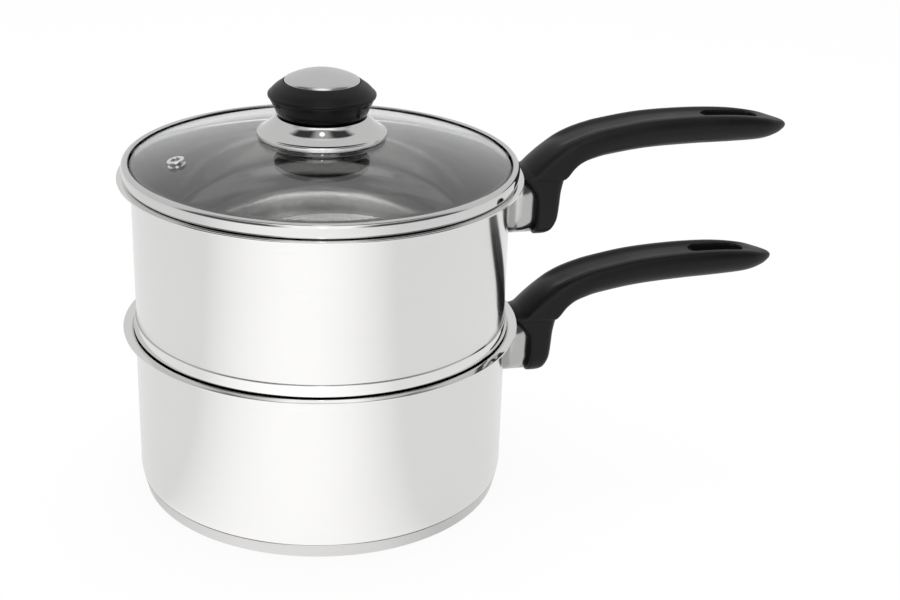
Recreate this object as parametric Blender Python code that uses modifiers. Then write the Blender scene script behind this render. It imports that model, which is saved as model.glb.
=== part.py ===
"""Steamer pot: a pan with an encapsulated base, a steamer insert that nests in it, and a glass lid.

Metres, +Z up. The origin is on the pot's axis, in the plane of the base's underside, and both handles
point along +X. Everything turned shares that axis.
"""

import math

import bmesh
import bpy
from mathutils import Vector

# Gap between pieces that touch
CLEARANCE = 0.0003

# Pan
PAN_RADIUS = 0.0912
PAN_SHEET = 0.0008
PAN_HEIGHT = 0.0843
PAN_CORNER_RADIUS = 0.016
PAN_CORNER_HEIGHT = 0.0122

# Turned-out rims of the pan and the steamer
RIM_WIDTH = 0.0058
RIM_FILLET = 0.003

# Encapsulated base
SEAM_HEIGHT = 0.0075
SEAM_STEP = 0.001
FLOOR_HEIGHT = 0.0058
FLOOR_CORNER_RADIUS = 0.0012
BASE_CAP_SHEET = 0.0006
BASE_CAP_LEAN = 0.0015
BASE_CAP_CORNER = 0.001
CORE_EDGE_GAP = 0.001

# Steamer insert
STEAMER_SHEET = 0.0006
STEAMER_STEP = 0.0006
STEAMER_HEIGHT = 0.0758
BEAD_WIDTH = 0.0014
BEAD_LEAN = 0.0007
BEAD_HEIGHT = 0.0053
BEAD_ROUND = 0.0003
SEAT_CONE_WIDTH = 0.0017
SEAT_CONE_HEIGHT = 0.0026
NEST_GAP = 0.0019
NEST_DEPTH = 0.0251
NEST_TAPER = 0.0065
STEAMER_FLOOR_CORNER = 0.010
STEP_FILLET = 0.001
DRAIN_PITCH = 0.0132
DRAIN_RADIUS = 0.00175
DRAIN_PER_RING = 6
DRAIN_EDGE = 0.004

# Glass lid and its steel rim
LID_SHEET = 0.0005
LID_BAND_INSET = 0.0022
LID_BAND_HEIGHT = 0.0069
LID_CREST_RADIUS = 0.0023
LID_LIP_WIDTH = 0.0035
LID_LIP_DROP = 0.0005
LID_FOOT_RADIUS = 0.0013
LID_SKIRT_GAP = 0.0006
LID_SKIRT_DEPTH = 0.0092
LID_SKIRT_FILLET = 0.0008
GLASS_CROWN_RADIUS = 0.305
GLASS_THICKNESS = 0.004
GLASS_EDGE_BEVEL = 0.001
GLASS_EDGE_COVER = 0.0009

# Steam vent
VENT_INSET = 0.0203
VENT_ANGLE = math.radians(188.3)
VENT_BORE_RADIUS = 0.0022
VENT_WALL = 0.0009
VENT_FLANGE_WIDTH = 0.0011
VENT_FLANGE_HEIGHT = 0.0008

# Knob
SKIRT_SHEET = 0.0007
SKIRT_RADIUS = 0.0308
SKIRT_NECK_RADIUS = 0.0213
SKIRT_RISE = 0.0082
SKIRT_EDGE_RADIUS = 0.0012
GRIP_HEIGHT = 0.0161
GRIP_RADIUS = 0.0257
GRIP_FOOT_RADIUS = 0.0212
GRIP_TOP_RADIUS = 0.0191
GRIP_WIDEST_HEIGHT = 0.0096
GRIP_EDGE_ROUND = 0.0014
GRIP_BULGE = 0.0006
CAP_RADIUS = 0.0179
CAP_SHEET = 0.0008
CAP_DOME = 0.0047
CAP_SINK = 0.0014
CAP_EDGE_ROUND = 0.0008
INSERT_RADIUS = 0.0045
INSERT_HEIGHT = 0.0175
KNOB_SCREW_RADIUS = 0.002
KNOB_SCREW_LENGTH = 0.0215
KNOB_THREAD_DEPTH = 0.0155
KNOB_HEAD_RADIUS = 0.0045
KNOB_HEAD_HEIGHT = 0.0028
GASKET_RADIUS = 0.008
GASKET_THICKNESS = 0.0012
WASHER_RADIUS = 0.007
WASHER_THICKNESS = 0.001

# Ferrules between the walls and the handles
FERRULE_WIDTH = 0.0232
FERRULE_HEIGHT = 0.032
FERRULE_SHEET = 0.0008
FERRULE_DROP = 0.0049
SOCKET_DEPTH = 0.0015

# Handles, measured out from the rim's edge and up from the rim's top
LEG_FACE = 0.0084
LEG_DEPTH = 0.0140
LEG_WALL = 0.0012
LEG_LIP = 0.0011
GRIP_LENGTH = 0.1437
GRIP_RISE = 0.0214
GRIP_HALF_WIDTH = 0.0136
PAN_HANDLE_LIFT = 0.0006
PAN_HANDLE_TILT = math.radians(1.5)
STEAMER_HANDLE_TILT = 0.0
CHANNEL_DEPTH = 0.0014
CHANNEL_START = 0.018
CHANNEL_END = 0.014
CHANNEL_RUN = 0.008
SLOT_LENGTH = 0.030
SLOT_WIDTH = 0.0095
SLOT_TO_TIP = 0.0165

# Handle screws, their washers and the brackets that they go into
BOLT_RADIUS = 0.0025
BOLT_CLEARANCE = 0.0003
BOLT_LENGTH = 0.019
BOLT_HEAD_RADIUS = 0.0046
BOLT_HEAD_HEIGHT = 0.0032
HEAD_FACE_SHARE = 0.7
RECESS_SHARE = 0.6
BOLT_RECESS_WIDTH = 0.0011
BOLT_RECESS_DEPTH = 0.0014
BOLT_SEAT_WALL = 0.0062
COUNTERBORE_RADIUS = 0.0053
SPRING_WASHER_RADIUS = 0.0045
SPRING_WASHER_THICKNESS = 0.0012
SPRING_WASHER_SPLIT = 0.0012
BRACKET_WIDTH = 0.012
BRACKET_HEIGHT = 0.018
BRACKET_PLATE_WIDTH = 0.0145
BRACKET_PLATE_HEIGHT = 0.0215
BRACKET_PLATE = 0.002
BRACKET_HOLE_END = 0.0025

# Facets: sides of the big turned pieces, of the knob and of small round ones, and points to an arc
POT_SIDES = 40
KNOB_SIDES = 24
SMALL_SIDES = 16
DRAIN_SIDES = 6
ARC_STEPS = 3
HANDLE_STEPS = 2
LID_STEPS = 2
GLASS_STEPS = 4
OVAL_STEPS = 6
SKIRT_STEPS = 4
CAP_STEPS = 3
SHARP_ANGLE = math.radians(35)
MERGE = 0.00001

# Share of the wall's radius from which the ferrule and the bracket run before the wall trims them
CUT_START = 0.9

# How the grip runs from its nose to its tip: share of its length; top and underside above the rim's top,
# as shares of its rise; share of its half width; how far the top's edges fall, as a share of its rise;
# and how much of the nose's square section it takes in place of the grip's
GRIP_ROWS = (
    (0.000, -0.103, -0.290, 0.779, 0.089, 1.00),
    (0.029, -0.084, -0.299, 0.912, 0.107, 1.00),
    (0.042, -0.028, -0.308, 0.949, 0.131, 1.00),
    (0.062, 0.103, -0.313, 0.978, 0.140, 1.00),
    (0.098, 0.285, -0.327, 1.000, 0.121, 1.00),
    (0.142, 0.458, -0.350, 1.007, 0.079, 1.00),
    (0.162, 0.523, -0.308, 1.007, 0.061, 0.92),
    (0.190, 0.598, -0.121, 1.000, 0.042, 0.72),
    (0.223, 0.673, -0.009, 0.985, 0.028, 0.45),
    (0.265, 0.752, 0.047, 0.978, 0.023, 0.18),
    (0.321, 0.827, 0.103, 0.963, 0.014, 0.00),
    (0.460, 0.958, 0.220, 0.941, 0.014, 0.00),
    (0.628, 1.000, 0.262, 0.912, 0.014, 0.00),
    (0.781, 0.967, 0.266, 0.853, 0.014, 0.00),
    (0.893, 0.874, 0.285, 0.706, 0.019, 0.00),
    (0.955, 0.771, 0.374, 0.471, 0.028, 0.00),
    (0.988, 0.692, 0.477, 0.228, 0.023, 0.00),
    (1.000, 0.626, 0.533, 0.074, 0.009, 0.00),
)

# The sections of the grip and of its nose, from the channel's lip to the underside: shares of the half
# width and of the height
GRIP_SECTION = (
    (0.60, 0.00),
    (0.80, 0.02),
    (0.94, 0.14),
    (1.00, 0.33),
    (0.94, 0.55),
    (0.74, 0.80),
    (0.42, 0.96),
)
NOSE_SECTION = (
    (0.60, 0.00),
    (0.80, 0.02),
    (0.94, 0.12),
    (0.98, 0.36),
    (1.00, 0.70),
    (0.985, 0.95),
    (0.80, 1.00),
)

# Where the channel's floor bends, as a share of the half width, and its depth there, as a share
CHANNEL_BEND = (0.34, 0.80)

# How the leg runs from its foot up into the grip: share of its height, its inner face as a share of the
# leg face's distance from the rim, how far its outer face falls short as a share of the leg's depth,
# and share of its half width
LEG_ROWS = (
    (0.000, 1.20, -0.800, 0.12),
    (0.020, 1.08, -0.580, 0.36),
    (0.060, 1.02, -0.380, 0.62),
    (0.130, 1.00, -0.240, 0.85),
    (0.260, 1.00, -0.110, 0.99),
    (0.440, 1.02, -0.050, 1.00),
    (0.600, 0.94, -0.015, 1.00),
    (0.700, 0.72, 0.040, 1.00),
    (0.775, 0.44, 0.100, 1.00),
    (0.835, 0.22, 0.170, 0.99),
    (0.885, 0.50, 0.250, 0.97),
    (0.930, 1.00, 0.330, 0.94),
    (0.960, 1.40, 0.160, 0.90),
)
LEG_SIDES = 16
LEG_SQUARENESS = 3.4
LEG_FACE_SQUARENESS = 7.0


# Heights and radii that follow from the sizes above

RIM_RADIUS = PAN_RADIUS + RIM_WIDTH
PAN_SEAT = PAN_HEIGHT + CLEARANCE
STEAMER_RADIUS = PAN_RADIUS - STEAMER_STEP
STEAMER_TOP = PAN_SEAT + STEAMER_HEIGHT
STEAMER_FLOOR = PAN_SEAT - NEST_DEPTH
LID_SEAT = STEAMER_TOP + CLEARANCE
LID_CREST = LID_SEAT + LID_BAND_HEIGHT
LID_BAND_RADIUS = RIM_RADIUS - LID_BAND_INSET
LIP_RADIUS = LID_BAND_RADIUS - LID_LIP_WIDTH
GLASS_RADIUS = LIP_RADIUS + GLASS_EDGE_COVER
VENT_OFFSET = LIP_RADIUS - VENT_INSET
GLASS_CENTRE = (
    LID_CREST
    - LID_LIP_DROP
    - LID_SHEET
    - CLEARANCE
    - math.sqrt(GLASS_CROWN_RADIUS**2 - LIP_RADIUS**2)
)
GLASS_APEX = GLASS_CENTRE + GLASS_CROWN_RADIUS
KNOB_BASE = GLASS_APEX + SKIRT_RISE


def clear_scene():
    """Removes whatever the file held."""
    for old in list(bpy.data.objects):
        bpy.data.objects.remove(old, do_unlink=True)


def new_collection(name):
    collection = bpy.data.collections.new(name)
    bpy.context.scene.collection.children.link(collection)
    return collection


def new_material(name, colour, roughness, metallic, transmission=0.0):
    """A Principled material."""
    material = bpy.data.materials.new(name)
    material.use_nodes = True
    shader = material.node_tree.nodes["Principled BSDF"]
    shader.inputs["Base Color"].default_value = (*colour, 1.0)
    shader.inputs["Roughness"].default_value = roughness
    shader.inputs["Metallic"].default_value = metallic
    shader.inputs["Transmission Weight"].default_value = transmission
    material.diffuse_color = (*colour, 1.0)
    return material


clear_scene()
PARTS = new_collection("steamer_pot")
CUTTERS = new_collection("steamer_pot_cutters")


def new_part(name, mesh, material):
    """A visible piece of the pot."""
    part = bpy.data.objects.new(name, mesh)
    mesh.materials.clear()
    mesh.materials.append(material)
    mesh.shade_smooth()
    mesh.set_sharp_from_angle(angle=SHARP_ANGLE)
    PARTS.objects.link(part)
    return part


def new_cutter(name, mesh):
    """A helper that only cuts or joins, and isn't rendered."""
    cutter = bpy.data.objects.new(name, mesh)
    cutter.hide_render = True
    cutter.display_type = "WIRE"
    CUTTERS.objects.link(cutter)
    return cutter


def join_or_cut(part, other, operation):
    modifier = part.modifiers.new(other.name, "BOOLEAN")
    modifier.operation = operation
    modifier.solver = "EXACT"
    modifier.object = other


def cut(part, cutter):
    join_or_cut(part, cutter, "DIFFERENCE")


def solidify(part, thickness):
    """Gives a surface its sheet thickness, on the side away from its normals."""
    modifier = part.modifiers.new("sheet", "SOLIDIFY")
    modifier.thickness = thickness
    modifier.offset = -1.0
    modifier.use_even_offset = True


def arc(centre, radius, start, end, steps=ARC_STEPS):
    """Points along an arc in the profile plane, with angles in degrees from outwards towards up."""
    points = []
    for step in range(steps + 1):
        angle = math.radians(start + (end - start) * step / steps)
        points.append((centre[0] + radius * math.cos(angle), centre[1] + radius * math.sin(angle)))
    return points


def turned_mesh(name, profile, sides, closed=False):
    """A profile of (radius, height) points, listed top to bottom on its outer side, turned about Z."""
    outline = bpy.data.meshes.new(name + "_profile")
    points = [(radius, 0.0, height) for radius, height in profile]
    edges = [(index, index + 1) for index in range(len(points) - 1)]
    if closed:
        edges.append((len(points) - 1, 0))
    outline.from_pydata(points, edges, [])
    guide = bpy.data.objects.new(name + "_guide", outline)
    PARTS.objects.link(guide)
    screw = guide.modifiers.new("turn", "SCREW")
    screw.steps = sides
    screw.render_steps = sides
    screw.use_merge_vertices = True
    screw.merge_threshold = MERGE
    mesh = mesh_of(guide)
    mesh.name = name
    return mesh


def mesh_of(guide):
    """The evaluated mesh of a guide object, which is then removed."""
    graph = bpy.context.evaluated_depsgraph_get()
    mesh = bpy.data.meshes.new_from_object(guide.evaluated_get(graph))
    bpy.data.objects.remove(guide, do_unlink=True)
    return mesh


def rod_mesh(name, radius, start, end, sides=SMALL_SIDES):
    """A cylinder between two points."""
    start = Vector(start)
    end = Vector(end)
    run = end - start
    shape = bmesh.new()
    bmesh.ops.create_cone(
        shape, cap_ends=True, segments=sides, radius1=radius, radius2=radius, depth=run.length
    )
    bmesh.ops.rotate(shape, verts=shape.verts, matrix=run.to_track_quat("Z", "Y").to_matrix())
    bmesh.ops.translate(shape, verts=shape.verts, vec=(start + end) / 2)
    return finished(name, shape)


def box_mesh(name, low, high):
    """A box between two corners."""
    low = Vector(low)
    high = Vector(high)
    shape = bmesh.new()
    bmesh.ops.create_cube(shape, size=1.0)
    bmesh.ops.scale(shape, verts=shape.verts, vec=high - low)
    bmesh.ops.translate(shape, verts=shape.verts, vec=(low + high) / 2)
    return finished(name, shape)


def finished(name, shape):
    """A mesh from a bmesh, with its faces pointing out."""
    bmesh.ops.recalc_face_normals(shape, faces=shape.faces)
    mesh = bpy.data.meshes.new(name)
    shape.to_mesh(mesh)
    shape.free()
    return mesh


def loft_mesh(name, rings):
    """A closed skin over rings of equal point counts, with a face at each end."""
    shape = bmesh.new()
    loops = [[shape.verts.new(point) for point in ring] for ring in rings]
    count = len(loops[0])
    for near, far in zip(loops, loops[1:]):
        for index in range(count):
            after = (index + 1) % count
            shape.faces.new((near[index], near[after], far[after], far[index]))
    shape.faces.new(loops[0])
    shape.faces.new(loops[-1])
    return finished(name, shape)


def smooth_rows(rows, steps):
    """Rows on a Catmull-Rom curve through the given ones, with this many steps to each gap."""
    smooth = []
    last = len(rows) - 1
    for index in range(last):
        before = rows[max(index - 1, 0)]
        start = rows[index]
        end = rows[index + 1]
        after = rows[min(index + 2, last)]
        for step in range(steps):
            t = step / steps
            smooth.append(
                tuple(
                    b + 0.5 * t * (c - a + t * (2 * a - 5 * b + 4 * c - d + t * (3 * (b - c) + d - a)))
                    for a, b, c, d in zip(before, start, end, after)
                )
            )
    smooth.append(rows[last])
    return smooth


def stadium_mesh(name, width, height, start, end):
    """An upright oval with straight sides, drawn across X and carried from start to end."""
    radius = width / 2
    straight = height / 2 - radius
    ends = ((1, 0), (-1, 180))
    outline = []
    for side, turn in ends:
        outline += arc((0.0, side * straight), radius, turn, turn + 180, OVAL_STEPS)
    rings = [[(place, y, z) for y, z in outline] for place in (start, end)]
    return loft_mesh(name, rings)


def rim_profile(wall_radius, top, sheet):
    """The underside of a turned-out rim, from its edge to the top of the wall."""
    under = top - sheet
    fillet = arc((wall_radius + RIM_FILLET, under - RIM_FILLET), RIM_FILLET, 90, 180)
    return [(RIM_RADIUS, under)] + fillet


STEEL = new_material("brushed_steel", (0.72, 0.71, 0.70), 0.28, 1.0)
MIRROR_STEEL = new_material("polished_steel", (0.80, 0.80, 0.79), 0.08, 1.0)
ALUMINIUM = new_material("aluminium", (0.75, 0.76, 0.77), 0.45, 1.0)
PHENOLIC = new_material("black_phenolic", (0.018, 0.018, 0.019), 0.38, 0.0)
GLASS = new_material("tempered_glass", (0.96, 0.98, 0.97), 0.02, 0.0, transmission=1.0)
BRASS = new_material("brass", (0.72, 0.56, 0.28), 0.32, 1.0)
SILICONE = new_material("silicone", (0.62, 0.62, 0.60), 0.6, 0.0)
ZINC_STEEL = new_material("zinc_plated_steel", (0.60, 0.61, 0.62), 0.35, 1.0)


def make_pan():
    """The drawn pan: rim, wall, rounded corner, the step that takes the base cap, and the floor."""
    corner_centre = (PAN_RADIUS - PAN_CORNER_RADIUS, PAN_CORNER_HEIGHT)
    seam_angle = math.degrees(math.asin((SEAM_HEIGHT - PAN_CORNER_HEIGHT) / PAN_CORNER_RADIUS))
    corner = arc(corner_centre, PAN_CORNER_RADIUS, 0, seam_angle)
    step_radius = corner[-1][0] - SEAM_STEP
    floor_centre = (step_radius - FLOOR_CORNER_RADIUS, FLOOR_HEIGHT + FLOOR_CORNER_RADIUS)
    profile = rim_profile(PAN_RADIUS, PAN_HEIGHT, PAN_SHEET)
    profile += corner
    profile += [(step_radius, SEAM_HEIGHT)]
    profile += arc(floor_centre, FLOOR_CORNER_RADIUS, 0, -90, 2)
    profile += [(0.0, FLOOR_HEIGHT)]
    pan = new_part("pan_body", turned_mesh("pan_body", profile, POT_SIDES), STEEL)
    solidify(pan, PAN_SHEET)
    return corner[-1][0]


def make_base(seam_radius):
    """The aluminium core under the floor, and the steel cap that closes it in up to the seam."""
    foot_radius = seam_radius - BASE_CAP_LEAN
    profile = [(seam_radius, SEAM_HEIGHT - CLEARANCE)]
    profile += arc((foot_radius - BASE_CAP_CORNER, BASE_CAP_CORNER), BASE_CAP_CORNER, 0, -90)
    profile += [(0.0, 0.0)]
    cap = new_part("base_cap", turned_mesh("base_cap", profile, POT_SIDES), STEEL)
    solidify(cap, BASE_CAP_SHEET)

    core_top = FLOOR_HEIGHT - CLEARANCE
    core_bottom = BASE_CAP_SHEET + CLEARANCE
    core_radius = foot_radius - BASE_CAP_SHEET - CORE_EDGE_GAP
    core_corner = BASE_CAP_CORNER - BASE_CAP_SHEET
    core_profile = [(0.0, core_top), (core_radius, core_top)]
    core_profile += arc((core_radius - core_corner, core_bottom + core_corner), core_corner, 0, -90)
    core_profile += [(0.0, core_bottom)]
    new_part("base_core_disc", turned_mesh("base_core_disc", core_profile, POT_SIDES), ALUMINIUM)


def make_steamer():
    """The insert: rim, wall, the bead that seats on the pan, the nested lower wall, the drilled floor."""
    inner_radius = STEAMER_RADIUS - STEAMER_SHEET
    bead_radius = STEAMER_RADIUS + BEAD_WIDTH
    bead_top = PAN_SEAT + BEAD_HEIGHT
    bead_crest = bead_radius - BEAD_LEAN - BEAD_ROUND
    cone_radius = bead_radius - SEAT_CONE_WIDTH
    cone_foot = PAN_SEAT - SEAT_CONE_HEIGHT
    nest_radius = PAN_RADIUS - PAN_SHEET - NEST_GAP
    foot_radius = nest_radius - NEST_TAPER
    floor_top = STEAMER_FLOOR + STEAMER_SHEET
    floor_radius = foot_radius - STEAMER_FLOOR_CORNER
    corner_top = STEAMER_FLOOR + STEAMER_FLOOR_CORNER
    outer = rim_profile(STEAMER_RADIUS, STEAMER_TOP, STEAMER_SHEET)
    outer += [(STEAMER_RADIUS, bead_top)]
    outer += arc((bead_crest, bead_top - BEAD_ROUND), BEAD_ROUND, 90, 0, 3)
    outer += [(bead_radius, PAN_SEAT + BEAD_ROUND), (bead_radius - BEAD_ROUND, PAN_SEAT)]
    outer += [(cone_radius, cone_foot), (nest_radius, cone_foot - STEP_FILLET)]
    outer += arc((floor_radius, corner_top), STEAMER_FLOOR_CORNER, 0, -90)
    inner = arc((floor_radius, corner_top), STEAMER_FLOOR_CORNER - STEAMER_SHEET, -90, 0)
    inner += [(nest_radius - STEAMER_SHEET, cone_foot - STEP_FILLET)]
    inner += [(inner_radius, PAN_SEAT + STEP_FILLET)]
    fillet = RIM_FILLET + STEAMER_SHEET
    inner += arc((inner_radius + fillet, STEAMER_TOP - fillet), fillet, 180, 90)
    inner += [(RIM_RADIUS, STEAMER_TOP)]
    profile = [(0.0, floor_top)] + inner + outer + [(0.0, STEAMER_FLOOR)]
    steamer = new_part("steamer_body", turned_mesh("steamer_body", profile, POT_SIDES), STEEL)
    flat = steamer.modifiers.new("one_face_floor", "DECIMATE")
    flat.decimate_type = "DISSOLVE"
    flat.angle_limit = math.radians(0.1)
    cut(steamer, new_cutter("drain_holes", drain_mesh(floor_radius, floor_top)))


def drain_mesh(floor_radius, floor_top):
    """Pegs for the drain holes: one in the middle and rings that each hold six more than the last."""
    rings = int((floor_radius - DRAIN_EDGE - DRAIN_RADIUS) / DRAIN_PITCH)
    peg_length = STEAMER_SHEET * 4
    middle = floor_top - STEAMER_SHEET / 2
    places = [(0.0, 0.0)]
    for ring in range(1, rings + 1):
        count = DRAIN_PER_RING * ring
        for index in range(count):
            angle = 2 * math.pi * index / count
            places.append((ring * DRAIN_PITCH * math.cos(angle), ring * DRAIN_PITCH * math.sin(angle)))
    shape = bmesh.new()
    for x, y in places:
        made = bmesh.ops.create_cone(
            shape,
            cap_ends=True,
            segments=DRAIN_SIDES,
            radius1=DRAIN_RADIUS,
            radius2=DRAIN_RADIUS,
            depth=peg_length,
        )
        bmesh.ops.translate(shape, verts=made["verts"], vec=(x, y, middle))
    return finished("drain_holes", shape)


def glass_height(radius, sphere=GLASS_CROWN_RADIUS):
    """Height of the glass's top at this radius, or of another sphere about the same centre."""
    return GLASS_CENTRE + math.sqrt(sphere**2 - radius**2)


def glass_points(start, end, sphere=GLASS_CROWN_RADIUS):
    """Points along the top of the glass between two radii, or along another sphere about its centre."""
    radii = [start + (end - start) * step / GLASS_STEPS for step in range(GLASS_STEPS + 1)]
    return [(radius, glass_height(radius, sphere)) for radius in radii]


def make_glass():
    """The domed glass, ground round at its edge, with the knob's hole and the vent's."""
    hole_radius = KNOB_SCREW_RADIUS + 4 * CLEARANCE
    shoulder = GLASS_RADIUS - GLASS_EDGE_BEVEL
    rim_top = glass_height(GLASS_RADIUS) - GLASS_EDGE_BEVEL
    rim_bottom = rim_top - GLASS_THICKNESS + 2 * GLASS_EDGE_BEVEL
    profile = glass_points(hole_radius, shoulder)
    profile += [(GLASS_RADIUS, rim_top), (GLASS_RADIUS, rim_bottom)]
    profile += glass_points(shoulder, hole_radius, GLASS_CROWN_RADIUS - GLASS_THICKNESS)
    glass = new_part("lid_glass", turned_mesh("lid_glass", profile, POT_SIDES, closed=True), GLASS)
    place, direction = vent_place()
    vent_radius = VENT_BORE_RADIUS + VENT_WALL + CLEARANCE
    reach = direction * GLASS_THICKNESS * 2
    cut(glass, new_cutter("vent_hole", rod_mesh("vent_hole", vent_radius, place - reach, place + reach)))


def vent_place():
    """Where the vent's axis meets the glass's top, and which way it points."""
    height = glass_height(VENT_OFFSET)
    place = Vector((VENT_OFFSET * math.cos(VENT_ANGLE), VENT_OFFSET * math.sin(VENT_ANGLE), height))
    centre = Vector((0.0, 0.0, GLASS_CENTRE))
    return place, (place - centre).normalized()


def make_vent():
    """The flanged tube in the vent hole: a bore, a domed flange on the glass and a rolled one below."""
    barrel = VENT_BORE_RADIUS + VENT_WALL
    flange = barrel + VENT_FLANGE_WIDTH
    under = -GLASS_THICKNESS - CLEARANCE
    crown = CLEARANCE + VENT_FLANGE_HEIGHT
    profile = [(VENT_BORE_RADIUS, crown), (barrel, crown), (flange, CLEARANCE + VENT_FLANGE_HEIGHT / 3)]
    profile += [(flange, CLEARANCE), (barrel, CLEARANCE), (barrel, under), (flange, under)]
    profile += [(flange, under - VENT_FLANGE_HEIGHT / 3), (barrel, under - VENT_FLANGE_HEIGHT)]
    profile += [(VENT_BORE_RADIUS, under - VENT_FLANGE_HEIGHT)]
    mesh = turned_mesh("vent_eyelet", profile, SMALL_SIDES, closed=True)
    vent = new_part("vent_eyelet", mesh, MIRROR_STEEL)
    vent.location, direction = vent_place()
    vent.rotation_euler = direction.to_track_quat("Z", "Y").to_euler()


def make_lid_rim():
    """The rolled steel rim: lip over the glass, outer band, ledge under the glass and locating skirt."""
    band = LID_BAND_RADIUS
    ledge_radius = GLASS_RADIUS - GLASS_EDGE_BEVEL
    glass_edge = glass_height(ledge_radius, GLASS_CROWN_RADIUS - GLASS_THICKNESS)
    ledge = glass_edge - CLEARANCE - LID_SHEET
    skirt_radius = STEAMER_RADIUS - STEAMER_SHEET - LID_SKIRT_GAP
    profile = [(LIP_RADIUS, LID_CREST - LID_LIP_DROP)]
    crest_centre = (band - LID_CREST_RADIUS, LID_CREST - LID_CREST_RADIUS)
    foot_centre = (band - LID_FOOT_RADIUS, LID_SEAT + LID_FOOT_RADIUS)
    profile += arc(crest_centre, LID_CREST_RADIUS, 90, 0, LID_STEPS)
    profile += arc(foot_centre, LID_FOOT_RADIUS, 0, -90, LID_STEPS)
    profile += [(ledge_radius, ledge)]
    skirt_corner = (skirt_radius + LID_SKIRT_FILLET, ledge - LID_SKIRT_FILLET)
    profile += arc(skirt_corner, LID_SKIRT_FILLET, 90, 180, LID_STEPS)
    profile += [(skirt_radius, LID_SEAT - LID_SKIRT_DEPTH)]
    rim = new_part("lid_rim", turned_mesh("lid_rim", profile, POT_SIDES), MIRROR_STEEL)
    solidify(rim, LID_SHEET)


def make_knob_skirt():
    """The steel dish that stands on the glass and spreads from under the grip like a trumpet's mouth."""
    foot = glass_height(SKIRT_RADIUS) + CLEARANCE
    flare_end = SKIRT_RADIUS - SKIRT_EDGE_RADIUS
    flare_width = flare_end - SKIRT_NECK_RADIUS
    flare_height = KNOB_BASE - foot - SKIRT_EDGE_RADIUS
    profile = [(INSERT_RADIUS + CLEARANCE, KNOB_BASE)]
    for step in range(SKIRT_STEPS + 1):
        turn = 0.5 * math.pi * step / SKIRT_STEPS
        radius = SKIRT_NECK_RADIUS + flare_width * (1 - math.cos(turn))
        profile.append((radius, KNOB_BASE - flare_height * math.sin(turn)))
    profile += arc((flare_end, foot), SKIRT_EDGE_RADIUS, 60, 0, 2)
    mesh = turned_mesh("knob_skirt", profile, KNOB_SIDES)
    solidify(new_part("knob_skirt", mesh, MIRROR_STEEL), SKIRT_SHEET)


def make_knob():
    """The grip, its steel cap and its brass insert."""
    bottom = KNOB_BASE + CLEARANCE
    top = bottom + GRIP_HEIGHT
    widest = bottom + GRIP_WIDEST_HEIGHT
    recess = top - CAP_SINK - CLEARANCE
    bore = INSERT_RADIUS + CLEARANCE
    insert_bottom = gasket_levels()[1] + CLEARANCE
    insert_top = insert_bottom + INSERT_HEIGHT
    profile = [(0.0, recess), (CAP_RADIUS + CLEARANCE, recess), (CAP_RADIUS + CLEARANCE, top)]
    profile += [(GRIP_TOP_RADIUS, top)]
    shoulder = (GRIP_RADIUS - GRIP_EDGE_ROUND / 2, widest + GRIP_EDGE_ROUND)
    bulge_radius = (GRIP_TOP_RADIUS + shoulder[0]) / 2 + GRIP_BULGE
    profile += [(bulge_radius, (top + shoulder[1]) / 2 + GRIP_BULGE), shoulder, (GRIP_RADIUS, widest)]
    profile += [(GRIP_RADIUS - GRIP_EDGE_ROUND / 2, widest - GRIP_EDGE_ROUND)]
    profile += [(GRIP_FOOT_RADIUS, bottom + CLEARANCE), (GRIP_FOOT_RADIUS - CLEARANCE, bottom)]
    profile += [(bore, bottom), (bore, insert_top + CLEARANCE), (0.0, insert_top + CLEARANCE)]
    new_part("knob_grip", turned_mesh("knob_grip", profile, KNOB_SIDES), PHENOLIC)

    cap_base = recess + CLEARANCE
    edge_height = top + CAP_EDGE_ROUND
    sphere = (CAP_RADIUS**2 + CAP_DOME**2) / (2 * CAP_DOME)
    crown = edge_height + CAP_DOME
    cap_profile = []
    for step in range(CAP_STEPS + 1):
        radius = (CAP_RADIUS - CAP_EDGE_ROUND) * step / CAP_STEPS
        cap_profile.append((radius, crown - sphere + math.sqrt(sphere**2 - radius**2)))
    cap_profile += [(CAP_RADIUS, top), (CAP_RADIUS, cap_base)]
    solidify(new_part("knob_cap", turned_mesh("knob_cap", cap_profile, KNOB_SIDES), STEEL), CAP_SHEET)

    thread = KNOB_SCREW_RADIUS + CLEARANCE
    thread_top = insert_bottom + KNOB_THREAD_DEPTH
    insert_profile = [(0.0, insert_top), (INSERT_RADIUS, insert_top), (INSERT_RADIUS, insert_bottom)]
    insert_profile += [(thread, insert_bottom), (thread, thread_top), (0.0, thread_top)]
    new_part("knob_insert", turned_mesh("knob_insert", insert_profile, SMALL_SIDES), BRASS)


def gasket_levels():
    """The underside and the top of the washer on the glass."""
    bottom = GLASS_APEX + CLEARANCE
    return bottom, bottom + GASKET_THICKNESS


def washer_mesh(name, hole, radius, bottom, thickness):
    top = bottom + thickness
    profile = [(hole, top), (radius, top), (radius, bottom), (hole, bottom)]
    return turned_mesh(name, profile, SMALL_SIDES, closed=True)


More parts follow.
